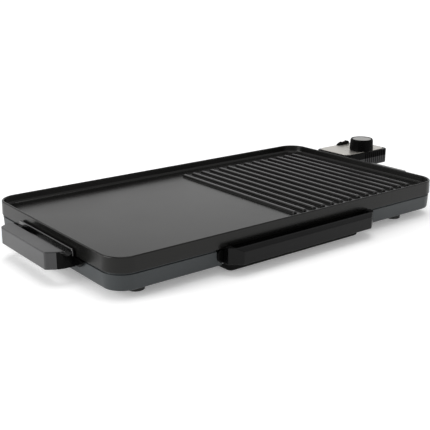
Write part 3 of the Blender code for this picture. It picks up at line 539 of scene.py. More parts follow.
# Painted shade: the handle arms' plastic, darker than the handle shell's and with little reflection, so that
# the arms read as shaded.
painted_shade_arm_plastic = surface(
    "painted_shade_arm_plastic", (0.0012, 0.0012, 0.0012), 0.16, grain(900.0), bump=(0.05, 0.05), specular=0.07)
grip_plastic = surface(
    "grip_plastic", (0.002, 0.002, 0.0021), 0.20, grain(700.0), bump=(0.06, 0.05), specular=0.16)
window_plastic = surface(
    "window_plastic", (0.002, 0.002, 0.002), 0.30, grain(900.0), bump=(0.1, 0.05), specular=0.15)
tray_coating = surface(
    "tray_coating", (0.002, 0.002, 0.002), 0.36, grain(1200.0),
    flecks=(0.3, (0.02, 0.02, 0.02), 700.0), bump=(0.2, 0.04), specular=0.1)
case_plastic = surface(
    "case_plastic", (0.0015, 0.0015, 0.0015), 0.20, grain(1000.0), bump=(0.10, 0.05), specular=0.04)
belly_plastic = surface(
    "belly_plastic", (0.006, 0.006, 0.0065), 0.22, grain(1000.0), bump=(0.12, 0.05), specular=0.35)
knob_plastic = surface(
    "knob_plastic", (0.0015, 0.0015, 0.0015), 0.24, grain(900.0), bump=(0.10, 0.05), specular=0.04)
silver_panel = surface(
    "silver_panel", (0.52, 0.50, 0.465), 0.38, (brushed_group, {"Scale": 2600.0}), metallic=0.85,
    gloss=(0.04, 20.0), drift=0.05, bump=(0.12, 0.04))
silver_cap = surface(
    "silver_cap", (0.27, 0.265, 0.255), 0.30, (rings_group, {"Centre": dial_centre, "Pitch": 0.0007}),
    metallic=0.9, gloss=(0.03, 40.0), drift=0.04, bump=(0.12, 0.04))
rubber = surface("rubber", (0.006, 0.006, 0.006), 0.62, grain(800.0), bump=(0.4, 0.08))
steel = surface(
    "zinc_steel", (0.56, 0.56, 0.58), 0.34, grain(600.0), metallic=1.0,
    gloss=(0.08, 60.0), drift=0.12, bump=(0.1, 0.03))
sheet = surface(
    "aluminium_sheet", (0.62, 0.62, 0.62), 0.36, (brushed_group, {"Scale": 1800.0}), metallic=1.0,
    gloss=(0.07, 30.0), bump=(0.15, 0.04))
ceramic = surface("ceramic", (0.72, 0.70, 0.64), 0.55, grain(1200.0), drift=0.06)
brass = surface(
    "brass", (0.60, 0.42, 0.18), 0.30, grain(700.0), metallic=1.0,
    gloss=(0.08, 60.0), bump=(0.1, 0.03))
smoked_lens = surface(
    "smoked_lens", (0.030, 0.004, 0.004), 0.16, grain(500.0), gloss=(0.03, 60.0), bump=(0.05, 0.03))
ink = surface("printed_ink", (0.02, 0.02, 0.02), 0.5, grain(1500.0), bump=(0.1, 0.02))
print("finishes:", len(bpy.data.materials))

# %% [markdown]
# ## Cooking plate
#
# The plate is one aluminium casting: a flat floor, a wall with a rounded rim, a fillet where the
# wall meets the floor, and a skirt that hangs down to the seam. The wall's section is drawn once
# and swept; the floor is a slab whose edge is buried in the wall, and a Boolean makes them one.

# %% Plate wall and floor
RIM_TOP, WELL_FLOOR, PLATE_BOTTOM, SEAM = 45.5, 35.5, 31.5, 28.7
rim = arc((1.8, 44.05), (1.42, RIM_TOP - 44.05), 180, 0, 12)
fillet = arc((6.95, 38.68), 3.2, 184, 267, 10)
plate_section = [
    (9.2, 32.0), (5.6, 31.3), (4.6, 31.2), (3.7, 30.6), (3.1, 29.2), (2.8, SEAM),
    (0.5, SEAM), (0.22, 28.78), (0.06, 28.95), (0.0, 29.25), *rim, *fillet, (9.2, 35.1),
]
plate = swept_wall("plate_casting", plate_section, coating)
join(plate, pushed("slab", within(6.2), "Z", PLATE_BOTTOM, WELL_FLOOR))
print("plate:", len(plate.data.polygons), "faces")

# %% [markdown]
# ## Ribs and drain slot
#
# Half of the floor carries fourteen ribs that mark the food and let fat run off. One rib is lofted
# with a flat top, a flared foot and falling ends, then a tree sets it down fourteen times.
# The fat leaves through a slot over the tray, dished so that nothing pools beside it.

# %% Ribs
RIB_COUNT, RIB_FIRST, RIB_PITCH, RIB_REACH = 14, 16, 15.5, 111
rib_ends = [(1.0, 0.40, 0.10), (0.998, 0.66, 0.42), (0.995, 0.82, 0.66), (0.990, 0.93, 0.84),
            (0.983, 0.985, 0.95), (0.974, 1.0, 1.0)]
rib_half = [(3.5, -0.12), (3.3, 0.0), (3.05, 0.07), (2.85, 0.25), (2.78, 0.6), (2.72, 1.5), (2.62, 2.2),
            (2.38, 2.72), (1.95, 3.03), (1.3, 3.16), (0.0, 3.2)]
rib_rings = []
for side in (-1, 1):
    for reach, wide, tall in rib_ends[::-side]:
        right = [(across * wide, up * tall if up > 0 else -0.5 if up < 0 else 0.0) for across, up in rib_half]
        ring = right + [(-across, up) for across, up in right[-2::-1]]
        rib_rings.append([(across, side * reach * RIB_REACH, WELL_FLOOR + up) for across, up in ring])
rib = skin("rib", rib_rings)
ribs = at_places("ribs", [(RIB_FIRST + RIB_PITCH * n, 0) for n in range(RIB_COUNT)], rib, coating)
join(plate, ribs)

# %% Drain slot, collar and posts
DRAIN_X, DRAIN_Y, DRAIN_LENGTH, DRAIN_WIDTH = -5, -124, 30, 7


def drain(wider):
    """The slot's round-ended outline, wider by this much on every side."""
    half_long, half_wide = DRAIN_LENGTH / 2 + wider, DRAIN_WIDTH / 2 + wider
    return rounded(DRAIN_X - half_long, DRAIN_X + half_long, DRAIN_Y - half_wide, DRAIN_Y + half_wide,
                   half_wide - 0.01, 8)


join(plate, pushed("collar", drain(2), "Z", 27.7, PLATE_BOTTOM + 1))
slot_levels = ((26.0, 0.0), (34.4, 0.0), (35.1, 0.35), (35.6, 1.1), (40.0, 1.1))
cut(plate, skin("slot", [level(drain(wider), z) for z, wider in slot_levels]))
POSTS = ((-188, -112), (-188, 112), (212, -112), (212, 112))
post = turned("post", ((1.9, 24.2), (4.5, 24.2), (4.5, 32.5), (1.9, 32.5)), looped=True, segments=24)
join(plate, at_places("posts", POSTS, post, coating))
finished(plate, coating, "base", "coated_aluminium", "cooking_plate", flat=40)

# %% [markdown]
# ## Base
#
# The base is one moulding under the plate: a drafted wall, a floor with air slots, posts for the
# screws, a window for the tray and a way in for the plug. The wall is swept like the plate's, with
# its top edge stepped in to throw a shadow line. The openings are cut last, as in the mould.

# %% Base wall and floor
BASE_FLOOR, BASE_TOP = 11.3, 27.9
base_section = [
    (7.0, 10.2), (6.0, 9.6), (5.2, 9.05), (4.4, 9.02), (3.5, 9.2), (2.8, 9.6), (2.25, 10.2), (1.95, 10.9),
    (1.88, 11.6), (1.12, 26.1), (1.22, 26.35), (1.5, 26.45), (2.8, 26.5), (2.85, 27.7), (3.0, BASE_TOP),
    (3.5, BASE_TOP), (3.75, 27.78), (3.85, 27.5),
    (4.05, 13.4), (4.25, 12.5), (4.8, 11.75), (5.6, 11.4), (7.0, 11.2),
]
base = swept_wall("base_moulding", base_section, base_plastic)
join(base, pushed("slab", within(5), "Z", 9.1, BASE_FLOOR))
boss = turned("boss", ((6.5, 10.3), (6.0, 23.8)), segments=28)
join(base, at_places("bosses", POSTS, boss, base_plastic))
pillar = turned("pillar", ((5.0, 10.3), (4.0, 14.4)), segments=24)
pillar_spots = [(x, y) for x in (-150, 128) for y in (-80, 80)]
join(base, at_places("pillars", pillar_spots, pillar, base_plastic))

# %% Base openings
PLUG_Y, PLUG_Z, PIN_SIDE = 57.5, 21.4, 12
FEET = ((-206, -113), (-206, 113), (185, -115), (185, 115))
screw_way = turned("way", ((3.9, 5), (3.9, 13), (1.9, 13.01), (1.9, 30)), segments=28)
cut(base, at_places("screw_ways", POSTS, screw_way, base_plastic))
foot_way = turned("way", ((2.6, 5), (2.6, 16)), segments=20)
cut(base, at_places("foot_ways", FEET, foot_way, base_plastic))
vent = pushed("vent", rounded(-2, 2, -45, 45, 1.95, 4), "Z", 5, 14)
cut(base, at_places("vents", [(x, 0) for x in (-190, -160, 140, 175)], vent, base_plastic))
window = rounded(-120, 120, 12.5, 60, 8, 10)
cut(base, pushed("window", window, "Y", -half_y - 5, -half_y + 9))
cut(base, block("tray_opening", (-112.2, -half_y - 5, 0), (102.2, 46, 15.5)))
cut(base, block("plug_way", (half_x - 9, PLUG_Y - 24.6, 13.7), (half_x + 5, PLUG_Y + 24.6, 45)))
soften(base, 0.25, 2, 50)
finished(base, base_plastic, "base", "base_plastic", "base_shell", flat=40)

# %% [markdown]
# ## Feet and screws
#
# A griddle slides on a smooth worktop, so each corner has a rubber foot with a shallow cup under
# it. Screws are pan-head with a cross recess. Both are one shape set down by the places tree.

# %% Feet
foot_profile = (
    (6.2, 0.9), (6.6, 0.0), (8.2, 0.0), (8.8, 0.15), (9.2, 0.6), (9.5, 8.2), (9.3, 8.65), (9.0, 8.8),
    (2.2, 8.8), (2.2, 11.8), (3.1, 12.2), (2.8, 12.9), (1.6, 13.9),
)
foot = turned("foot", foot_profile, segments=40)
feet = at_places("rubber_feet", FEET, foot, rubber)
finished(feet, rubber, "base", "black_rubber", *corner_nodes("foot"), flat=0)


# %% Screws
HEAD = 2.0  # how far the drawn heads stand proud


def screw(axis, along, length):
    """A pan-head screw through the middle of the plate. along is +1 or -1: the way it points."""
    profile = ((1.0, -2.0), (2.0, -1.95), (2.9, -1.6), (3.45, -0.9), (3.6, -0.2), (3.5, 0.0), (1.6, 0.01),
               (1.6, length - 1), (0.6, length))
    profile = [(radius, reach * along) for radius, reach in profile]
    piece = turned("screw", profile, (0, 0, 0), axis, segments=28)
    recess, slim, wide, deep = -1.9 * along, 0.35, 1.9, 1.0
    for first, second in ((slim, wide), (wide, slim)):
        spans = {"X": (deep, first, second), "Y": (first, deep, second), "Z": (first, second, deep)}[axis]
        centre = {"X": (recess, 0, 0), "Y": (0, recess, 0), "Z": (0, 0, recess)}[axis]
        low = [middle - half for middle, half in zip(centre, spans)]
        high = [middle + half for middle, half in zip(centre, spans)]
        cut(piece, block("cross", low, high))
    return piece


def head_place(node, axis, along):
    """Where the underside of a screw's head is, in millimetres from the middle of the plate."""
    low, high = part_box(node)
    spot = list(((low + high) / 2 - plate_middle) / MM)
    end = (low if along > 0 else high) - plate_middle
    spot["XYZ".index(axis)] = end["XYZ".index(axis)] / MM + HEAD * along
    return spot


screw_sets = (
    ("base_screws", "base", "Z", 1, corner_nodes("base_screw")),
    ("left_handle_screws", "base", "X", -1, ["left_handle_screw_front", "left_handle_screw_back"]),
    ("right_handle_screws", "base", "X", 1, ["right_handle_screw_front", "right_handle_screw_back"]),
    ("tray_screws", "drip_tray", "Y", -1, ["tray_screw_left", "tray_screw_right"]),
    ("case_screws", "thermostat", "Z", 1, ["case_screw_inner", "case_screw_outer"]),
)
for name, body_name, axis, along, nodes in screw_sets:
    low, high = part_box(nodes[0])
    length = (high - low)["XYZ".index(axis)] / MM - HEAD
    heads = [head_place(node, axis, along) for node in nodes]
    piece = at_places(name, heads, screw(axis, along, length), steel)
    finished(piece, steel, body_name, "zinc_steel", *nodes, flat=0)

# %% [markdown]
# ## Grab handles
#
# Each handle has four pieces: a satin front shell, a glossy moulding with two arms, a strip beside
# the plate and a separate top cover. Separate pieces keep the fine lines between them. All four are
# the same black plastic, but the arms get a darker copy with little reflection, as painted shade,
# and the strip a copy with strong reflection, as a painted highlight. The bar's ends are chamfered,
# the arms dip in a round saddle so that the fingers can reach under, and every edge is softened
# because a hand closes on it.

# %% Handles
HANDLE_REACH, HANDLE_DEPTH, ARM, HANDLE_TOP, HANDLE_BOTTOM = 30, 16.2, 10, 37, 17.6
SADDLE_RADIUS, SADDLE_OUT, HANDLE_SCREW_Z = 7.5, 9.2, 23.5


def make_handle(side_name, wall, middle, half):
    def out(distance):
        return wall * (half_x + distance)

    def span(first, second):
        return sorted((out(first), out(second)))

    inner, arm, seam_out, parting = HANDLE_REACH - HANDLE_DEPTH, half + ARM, 19.7, 0.06
    cover_low = HANDLE_TOP - 0.95
    moulding_top = cover_low - 0.12
    nose = [(seam_out, half + 7), (HANDLE_REACH - 1, half + 0.7), (HANDLE_REACH, half - 1)]

    def mirrored(points):
        return [(distance, -along) for distance, along in points] + points[::-1]

    def drawn(points):
        return [(out(distance), middle + along) for distance, along in points]

    shell_points = [(seam_out + parting, half + 6.95), *nose[1:]]
    front = drawn(mirrored(shell_points))
    shell = pushed(f"{side_name}_handle_shell", front, "Z", HANDLE_BOTTOM, moulding_top)
    soften(shell, 0.5, 3, 20)
    finished(shell, handle_plastic, "base", "black_plastic")
    arm_points = [(0.4, arm), (inner, arm - 1), (seam_out - parting, half + 7)]
    back = drawn(mirrored(arm_points))
    grip = pushed(f"{side_name}_handle_arms", back, "Z", HANDLE_BOTTOM, moulding_top)
    soften(grip, 0.7, 3, 20)
    low, high = span(2.4, inner)
    cut(grip, pushed("slot", rounded(low, high, middle - half, middle + half, 4, 6), "Z", 0, 60))
    saddle = ((SADDLE_RADIUS, -2 * half), (SADDLE_RADIUS, 2 * half))
    cut(grip, turned("saddle", saddle, (out(SADDLE_OUT), middle, HANDLE_TOP + 1), "Y", segments=64))
    flange = [(middle - arm, SEAM), (middle + arm, SEAM), (middle + arm, 35), (middle + arm - 2, HANDLE_TOP),
              (middle - arm + 2, HANDLE_TOP), (middle - arm, 35)]
    plate_flange = pushed(f"{side_name}_handle_flange", flange, "X", *span(1.6, 3.8))
    soften(plate_flange, 0.95, 4, 30)
    # The strip takes the copy with raised reflection: a painted highlight.
    finished(plate_flange, painted_highlight_flange_plastic, "base", "black_plastic")
    root = [(middle - half - 20, 20), (middle + half + 20, 20), (middle + half + 30, BASE_TOP),
            (middle - half - 30, BASE_TOP)]
    join(grip, pushed("root", root, "X", *span(-0.6, 2)))
    for y in (middle - half - ARM / 2, middle + half + ARM / 2):
        hole = ((1.9, -4 * wall), (1.9, 8 * wall))
        cut(grip, turned("hole", hole, (wall * half_x, y, HANDLE_SCREW_Z), "X", segments=20))
    # The arms take the darker copy with little reflection: painted shade.
    finished(grip, painted_shade_arm_plastic, "base", "black_plastic", f"{side_name}_handle")
    cover_points = [(inner, arm - 1), *nose]
    cover = pushed(f"{side_name}_handle_top", drawn(mirrored(cover_points)), "Z", cover_low, HANDLE_TOP)
    soften(cover, 0.4, 3, 20)
    finished(cover, handle_plastic, "base", "black_plastic", f"{side_name}_handle_cover")


make_handle("left", -1, 0, 52)
make_handle("right", 1, -30, 30)

# %% [markdown]
# ## Drip tray
#
# The tray slides out to the front on two rails. It is a shallow pan with a lip along each side, a
# panel that closes the base's window, and a grip with a finger hollow behind its front wall.

# %% Pan
PAN_LEFT, PAN_RIGHT, PAN_FRONT, PAN_BACK = -105, 95, -139, 43
pan_section = [
    (4.2, 1.0), (2.6, 1.08), (1.5, 1.5), (0.6, 2.3), (0.1, 3.2), (0.0, 4.2), (0.0, 11.0), (-5.0, 11.0),
    (-5.3, 11.2), (-5.3, 12.0), (-5.1, 12.2), (0.9, 12.2), (1.2, 11.9), (1.4, 4.4), (1.7, 3.2), (2.6, 2.4),
    (3.8, 2.2),
]
pan_rings = []
for inset, z in pan_section:
    end = max(inset, 0)
    outline = rounded(PAN_LEFT + inset, PAN_RIGHT - inset, PAN_FRONT + end, PAN_BACK - end, 6 - inset / 2, 8)
    pan_rings.append(level(outline, z))
pan = skin("drip_pan", pan_rings)
finished(pan, tray_coating, "drip_tray", "tray_coating", "drip_tray", flat=30)

# %% Window panel and grip
panel_front = -half_y + 1.5
panel_outline = rounded(-118.6, 118.6, 13.0, 27.3, 6, 8)
tray_panel = pushed("tray_window_panel", panel_outline, "Y", panel_front, panel_front + 3)
soften(tray_panel, 0.4, 2, 40)
grip_outline = [
    (-112, panel_front - 0.3), (-112, -145), (-98.5, -155),
    (98.5, -155), (112, -145), (112, panel_front - 0.3),
]
grip = pushed("tray_grip", grip_outline, "Z", 12.5, 30.6)
cut(grip, block("wall_clear", (-140, -half_y - 0.8, 26.9), (140, -half_y + 9, 50)))
bevel = [(-156, 26.5), (-149.6, 30.7), (-149.6, 40), (-156, 40)]
cut(grip, pushed("bevel", bevel, "X", -140, 140))
soften(grip, 0.7, 4, 25)
cut(grip, pushed("hollow", rounded(-104, 104, -147.6, panel_front - 2, 3, 6), "Z", 16, 50))
for piece in (tray_panel, grip):
    for x in (-80, 80):
        cut(piece, turned("hole", ((1.9, -1.6), (1.9, 20)), (x, panel_front - 2, 21), "Y", segments=20))
finished(tray_panel, window_plastic, "drip_tray", "black_plastic", "tray_front")
finished(grip, grip_plastic, "drip_tray", "black_plastic", "tray_handle")

# %% [markdown]
# ## Thermostat case
#
# The thermostat plugs in under the plate's right edge. Its case is two shells that meet at a fine
# line, with a stepped belly and a nose that enters the socket. Finger grooves run along its
# front and round the corner: a tree sets down the cutters, because grooves keep the case in size.

# %% Case shells
CASE_START, CASE_END, CASE_HALF, CASE_CORNER = 247, 338, 31.5, 8
CASE_BOTTOM, CASE_SPLIT, CASE_TOP, STEP_BOTTOM = 24, 36, 45.2, 15.2
NOSE_HALF, CASE_WALL = 21.5, 2
CASE_FRONT, CASE_BACK = PLUG_Y - CASE_HALF, PLUG_Y + CASE_HALF
GLAND = (302, CASE_BACK, CASE_SPLIT)
DIAL_X, DIAL_Y = ((dial_centre - plate_middle) / MM).xy
DIAL_AXIS = (DIAL_X, DIAL_Y, 0)


def case_ring(inset, z):
    return level(rounded(CASE_START + inset, CASE_END - inset, CASE_FRONT + inset, CASE_BACK - inset,
                         CASE_CORNER - inset, 12), z)


lower_case = skin("case_lower_shell", [
    case_ring(1.6, CASE_BOTTOM), case_ring(1.1, CASE_BOTTOM + 0.15), case_ring(0.5, CASE_BOTTOM + 0.6),
    case_ring(0.15, CASE_BOTTOM + 1.1), case_ring(0, CASE_BOTTOM + 1.8),
    case_ring(0, CASE_SPLIT - 0.2), case_ring(0.2, CASE_SPLIT),
])
step_top = CASE_BOTTOM + 2
step = [(CASE_START, STEP_BOTTOM), (286, STEP_BOTTOM), (296, step_top), (CASE_START, step_top)]
join(lower_case, soften(pushed("step", step, "Y", CASE_FRONT + 3, CASE_BACK - 3), 0.8, 3, 30))
nose_low = (228, PLUG_Y - NOSE_HALF, STEP_BOTTOM + 1)
nose_high = (CASE_START + 4, PLUG_Y + NOSE_HALF, PLUG_Z + 5.4)
join(lower_case, soften(block("nose", nose_low, nose_high), 0.6, 3, 30))
room_low = (CASE_START + CASE_WALL, CASE_FRONT + CASE_WALL)
room_high = (CASE_END - CASE_WALL, CASE_BACK - CASE_WALL)
cut(lower_case, block("hollow", (*room_low, CASE_BOTTOM + CASE_WALL + 1.4), (*room_high, 60)))
cut(lower_case, block("step_hollow", (CASE_START - 4, PLUG_Y - NOSE_HALF + CASE_WALL, STEP_BOTTOM + 1.2),
                      (284, PLUG_Y + NOSE_HALF - CASE_WALL, 40)))
for side, radius in ((-1, 4.9), (0, 3.4), (1, 4.9)):
    way = ((radius + 0.5, -6), (radius + 0.5, 0.1), (radius, 0.6), (radius, 18))
    cut(lower_case, turned("way", way, (228, PLUG_Y + side * PIN_SIDE, PLUG_Z), "X", segments=32))
upper_case = skin("case_upper_shell", [
    case_ring(0.2, CASE_SPLIT + 0.3), case_ring(0, CASE_SPLIT + 0.5), case_ring(0, CASE_TOP - 1),
    case_ring(0.15, CASE_TOP - 0.4), case_ring(0.5, CASE_TOP - 0.08), case_ring(0.9, CASE_TOP),
])
cut(upper_case, block("hollow", (*room_low, 20), (*room_high, CASE_TOP - CASE_WALL)))
cut(upper_case, turned("shaft_way", ((3.6, 0), (3.6, 60)), DIAL_AXIS, segments=32))

# %% Finger grooves
groove_radius, groove_pitch, groove_out = 1.25, 4.4, 0.25
groove_spots = []
travel = 288.0
corner_start, corner_length = CASE_END - CASE_CORNER, CASE_CORNER * pi / 2
while travel < corner_start + corner_length + 8:
    past = travel - corner_start
    if past <= 0:
        spot = (travel, CASE_FRONT - groove_out)
    elif past < corner_length:
        angle = past / CASE_CORNER - pi / 2
        reach = CASE_CORNER + groove_out
        spot = (corner_start + reach * cos(angle), CASE_FRONT + CASE_CORNER + reach * sin(angle))
    else:
        spot = (CASE_END + groove_out, CASE_FRONT + CASE_CORNER + past - corner_length)
    groove_spots.append(spot)
    travel += groove_pitch
for case, low, high in ((lower_case, CASE_BOTTOM + 1.8, 50), (upper_case, 20, CASE_TOP - 1.2)):
    blunt = ((0.3, low), (groove_radius, low + 0.7), (groove_radius, high - 0.7), (0.3, high))
    cutter = turned("groove", blunt, segments=14)
    cut(case, at_places("grooves", groove_spots, cutter, case_plastic))
    cut(case, turned("gland_way", ((4.4, -9), (4.4, 4)), GLAND, "Y", segments=32))
print("grooves:", len(groove_spots))
finished(lower_case, belly_plastic, "thermostat", "black_plastic", "controller_case_lower")
finished(upper_case, case_plastic, "thermostat", "black_plastic", "controller_case_upper")

# %% [markdown]
# ## Silver panel, scale and pilot lamp
#
# The top is a thin brushed panel let into the case. Its scale is printed: nine ticks and plain
# numbers, placed round the dial's own axis. The pilot lamp sits in a small black two-humped
# housing at the panel's back edge.

# %% Panel
PANEL_BOTTOM, PANEL_TOP = 45.5, 46.2
reveal, outer_reveal = 2.6, 5.2
panel_outline = rounded(CASE_START + reveal, CASE_END - outer_reveal,
                        CASE_FRONT + reveal, CASE_BACK - reveal, 9, 12)
panel = pushed("silver_top_panel", panel_outline, "Z", PANEL_BOTTOM, PANEL_TOP)
soften(panel, 0.2, 2, 40)
cut(panel, turned("shaft_way", ((3.6, 0), (3.6, 60)), DIAL_AXIS, segments=32))
finished(panel, silver_panel, "thermostat", "silver_panel", "control_panel")

# %% Scale
SCALE_START, SCALE_TURN, TICKS, TICKS_ON_PANEL = 205, 270, 11, 9
TICK_OUT, NUMBER_OUT = 20.2, 24.6
tick_spots = []
for number in range(TICKS_ON_PANEL):
    angle = SCALE_START - SCALE_TURN * number / (TICKS - 1)
    across, up = TICK_OUT * cos(radians(angle)), TICK_OUT * sin(radians(angle))
    tick_spots.append((DIAL_X + across, DIAL_Y + up, 0, angle))
tick = pushed("tick", rounded(-1.1, 1.1, -0.22, 0.22, 0.2, 3), "Z", PANEL_TOP - 0.1, PANEL_TOP + 0.05)
scale = at_places("scale_ticks", tick_spots, tick, ink)
for number in range(1, 5):
    angle = radians(SCALE_START - SCALE_TURN * number / 5)
    words = bpy.data.curves.new("number", "FONT")
    words.body = str(number)
    words.size = 4.2 * MM
    words.extrude = 0.05 * MM
    words.resolution_u = 4
    words.align_x, words.align_y = "CENTER", "CENTER"
    drawn = linked("number", words)
    bpy.context.view_layer.update()
    mesh = bpy.data.meshes.new_from_object(drawn.evaluated_get(bpy.context.evaluated_depsgraph_get()))
    spot = place(DIAL_X + NUMBER_OUT * cos(angle), DIAL_Y + NUMBER_OUT * sin(angle), PANEL_TOP)
    mesh.transform(Matrix.Translation(spot))
    bpy.data.objects.remove(drawn, do_unlink=True)
    shape = bmesh.new()
    shape.from_mesh(scale.data)
    shape.from_mesh(mesh)
    bmesh.ops.remove_doubles(shape, verts=shape.verts, dist=1e-7)
    shape.to_mesh(scale.data)
    shape.free()
finished(scale, ink, "thermostat", "black_plastic", flat=0)

# %% Pilot lamp
base_z = PANEL_TOP + 0.3
hump = [(287, 0.0), (311.5, 0.0), (311.1, 2.2), (310.2, 3.9), (308.6, 4.8), (306.6, 5.0), (305.0, 4.5),
        (303.6, 3.7), (303.3, 3.45), (299.7, 3.45), (298.6, 3.9), (297.2, 4.35), (295.2, 4.3), (291.0, 2.6),
        (288.4, 1.2)]
bezel = pushed("pilot_housing", [(x, base_z + up) for x, up in hump], "Y", 81, 86.2)
soften(bezel, 0.4, 3, 40)
finished(bezel, knob_plastic, "thermostat", "black_plastic", "pilot_bezel", flat=30)
lens_levels = [(0.0, 3.5), (0.0, 4.1), (0.25, 4.4), (0.7, 4.5)]
lens_rings = [
    level(rounded(299.8 + inset, 303.2 - inset, 82 + inset, 85.2 - inset, 1.2 - inset / 2, 5), base_z + up)
    for inset, up in lens_levels
]
lens = skin("pilot_lamp", lens_rings)
finished(lens, smoked_lens, "thermostat", "pilot_red", "pilot_lens", flat=0)

# %% [markdown]
# ## Dial
#
# The knob is a cone of matte black with fine grip ridges and a thin rim round a spun silver cap.
# The ridges are one thin bar set down round the knob, leaning in with its wall. A wider bar is the
# pointer, which meets the scale's first tick at rest.

# %% Knob
KNOB_BOTTOM, KNOB_TOP, KNOB_RADIUS = 46.8, 63.8, 17.5
RIDGES, RIDGE_OUT = 60, 0.28
body_radius = KNOB_RADIUS - 0.35
knob_profile = [
    (3.4, KNOB_BOTTOM), (body_radius - 0.5, KNOB_BOTTOM), (body_radius - 0.1, KNOB_BOTTOM + 0.2),
    (body_radius, KNOB_BOTTOM + 0.8), (16.25, KNOB_TOP - 1.1), (16.1, KNOB_TOP - 0.5),
    (15.75, KNOB_TOP - 0.12), (15.35, KNOB_TOP), (15.0, KNOB_TOP - 0.1), (14.85, KNOB_TOP - 0.5),
    (14.8, KNOB_TOP - 1.4), (3.4, KNOB_TOP - 1.4),
]
knob = turned("knob_body", knob_profile, DIAL_AXIS, looped=True, segments=120)


def side_bar(name, width, proud):
    """A bar down the knob's side, drawn pointing along +X."""
    rings = []
    stations = ((KNOB_BOTTOM + 0.9, body_radius, 0.5), (KNOB_BOTTOM + 1.5, body_radius - 0.04, 1),
                (KNOB_TOP - 1.9, 16.3, 1), (KNOB_TOP - 1.3, 16.26, 0.5))
    for z, radius, narrow in stations:
        out = proud * narrow
        left = [(radius - 0.6, -width, z), (radius + out * 0.5, -width, z), (radius + out, -width * 0.45, z)]
        rings.append(left + [(x, -y, z) for x, y, z in reversed(left)])
    return skin(name, rings)


ridge_spots = [(DIAL_X, DIAL_Y, 0, SCALE_START + 6 + 348 * n / (RIDGES - 1)) for n in range(RIDGES)]
join(knob, at_places("ridges", ridge_spots, side_bar("ridge", 0.42, RIDGE_OUT), knob_plastic))
pointer_spot = [(DIAL_X, DIAL_Y, 0, SCALE_START)]
join(knob, at_places("pointer", pointer_spot, side_bar("pointer", 0.9, 0.34), knob_plastic))
finished(knob, knob_plastic, "dial", "black_plastic", "dial_knob")

# %% Cap and shaft
cap_profile = [
    (13.6, KNOB_TOP - 1.1), (13.6, KNOB_TOP - 0.7), (13.45, KNOB_TOP - 0.45), (13.0, KNOB_TOP - 0.34),
]
cap_profile += [(12.3 - n * 1.2, KNOB_TOP - 0.33 + n * 0.02) for n in range(11)]
cap = turned("spun_cap", cap_profile, DIAL_AXIS, segments=96)
finished(cap, silver_cap, "dial", "silver_panel", "dial_cap", flat=0)
shaft = turned("dial_spindle", ((2.6, 38), (3, 38.4), (3, KNOB_TOP - 2.1), (2.7, KNOB_TOP - 1.8)),
               DIAL_AXIS, segments=32)
finished(shaft, steel, "dial", "zinc_steel", "dial_shaft", flat=0)

# %% [markdown]
# ## Plug, socket and cord gland
#
# Everything that plugs together is turned: pins, insulators, sleeves, probe and gland. One table
# of profiles makes them all. The guard round the pins is thin folded sheet.

# %% Turned fittings
fittings = [
    ("probe", steel, "zinc_steel", "thermostat", "probe_rod", (0, PLUG_Y, PLUG_Z), "X",
     [(0.4, 176), (1.6, 176.2), (2.5, 176.9), (3, 178.2), (3, 262)], False),
    ("gland_boot", rubber, "black_rubber", "thermostat", "cord_gland", GLAND, "Y",
     [(2.6, -4), (4.1, -4), (4.1, 0.3), (6.1, 0.31), (6.4, 0.6), (6.3, 1.8), (5.9, 2.1), (5.4, 2.2),
      (5.4, 2.9), (5.8, 3.1), (5.7, 4.2), (5.1, 4.4), (5.1, 5.1), (5.4, 5.3), (5.2, 6.4), (4.7, 6.6),
      (4.7, 7.2), (4.9, 7.4), (4.7, 8.6), (4.4, 9), (2.6, 9)], True),
]
for end, side in (("front", -1), ("back", 1)):
    axis_point = (0, PLUG_Y + side * PIN_SIDE, PLUG_Z)
    fittings += [
        (f"plug_pin_{end}", steel, "zinc_steel", "base", f"terminal_pin_{end}", axis_point, "X",
         [(2.9, 207.4), (2.9, 237.9), (2.7, 238.9), (2.2, 239.6), (1.4, 239.9)], False),
        (f"insulator_{end}", ceramic, "ceramic", "base", f"pin_insulator_{end}", axis_point, "X",
         [(3.2, 210.4), (4.1, 210.4), (4.4, 210.7), (4.4, 217.1), (4.1, 217.4), (3.2, 217.4)], True),
        (f"sleeve_{end}", brass, "brass", "thermostat", f"contact_sleeve_{end}", axis_point, "X",
         [(3.5, 229), (4.3, 229), (4.5, 229.2), (4.5, 254), (3.3, 254), (3.3, 229.4)], True),
    ]
for name, finish, slot_name, body_name, node, centre, axis, profile, looped in fittings:
    piece = turned(name, profile, centre, axis, looped, segments=40)
    finished(piece, finish, body_name, slot_name, node, flat=0)

# %% Socket guard
guard_low, guard_high = (213, PLUG_Y - 23.7, 14.2), (241, PLUG_Y + 23.7, 28.2)
guard = soften(block("pin_guard", guard_low, guard_high), 0.9, 4, 30)
thin = 1.2
cut(guard, soften(block("hollow", [low + thin for low in guard_low],
                        (guard_high[0] + 20, guard_high[1] - thin, guard_high[2] - thin)), 0.5, 3, 30))
for side, radius in ((-1, 4.7), (0, 4.2), (1, 4.7)):
    way = turned("way", ((radius, -5), (radius, 5)), (213, PLUG_Y + side * PIN_SIDE, PLUG_Z), "X", segments=32)
    cut(guard, way)
finished(guard, steel, "base", "zinc_steel", "socket_guard")

# %% [markdown]
# ## Parts that keep the drawing's own mesh
#
# The reflector, the element with its clamps, the probe's block, the rails and the switch are hidden
# in use, and their drawn shape is already right. They only need their finish.

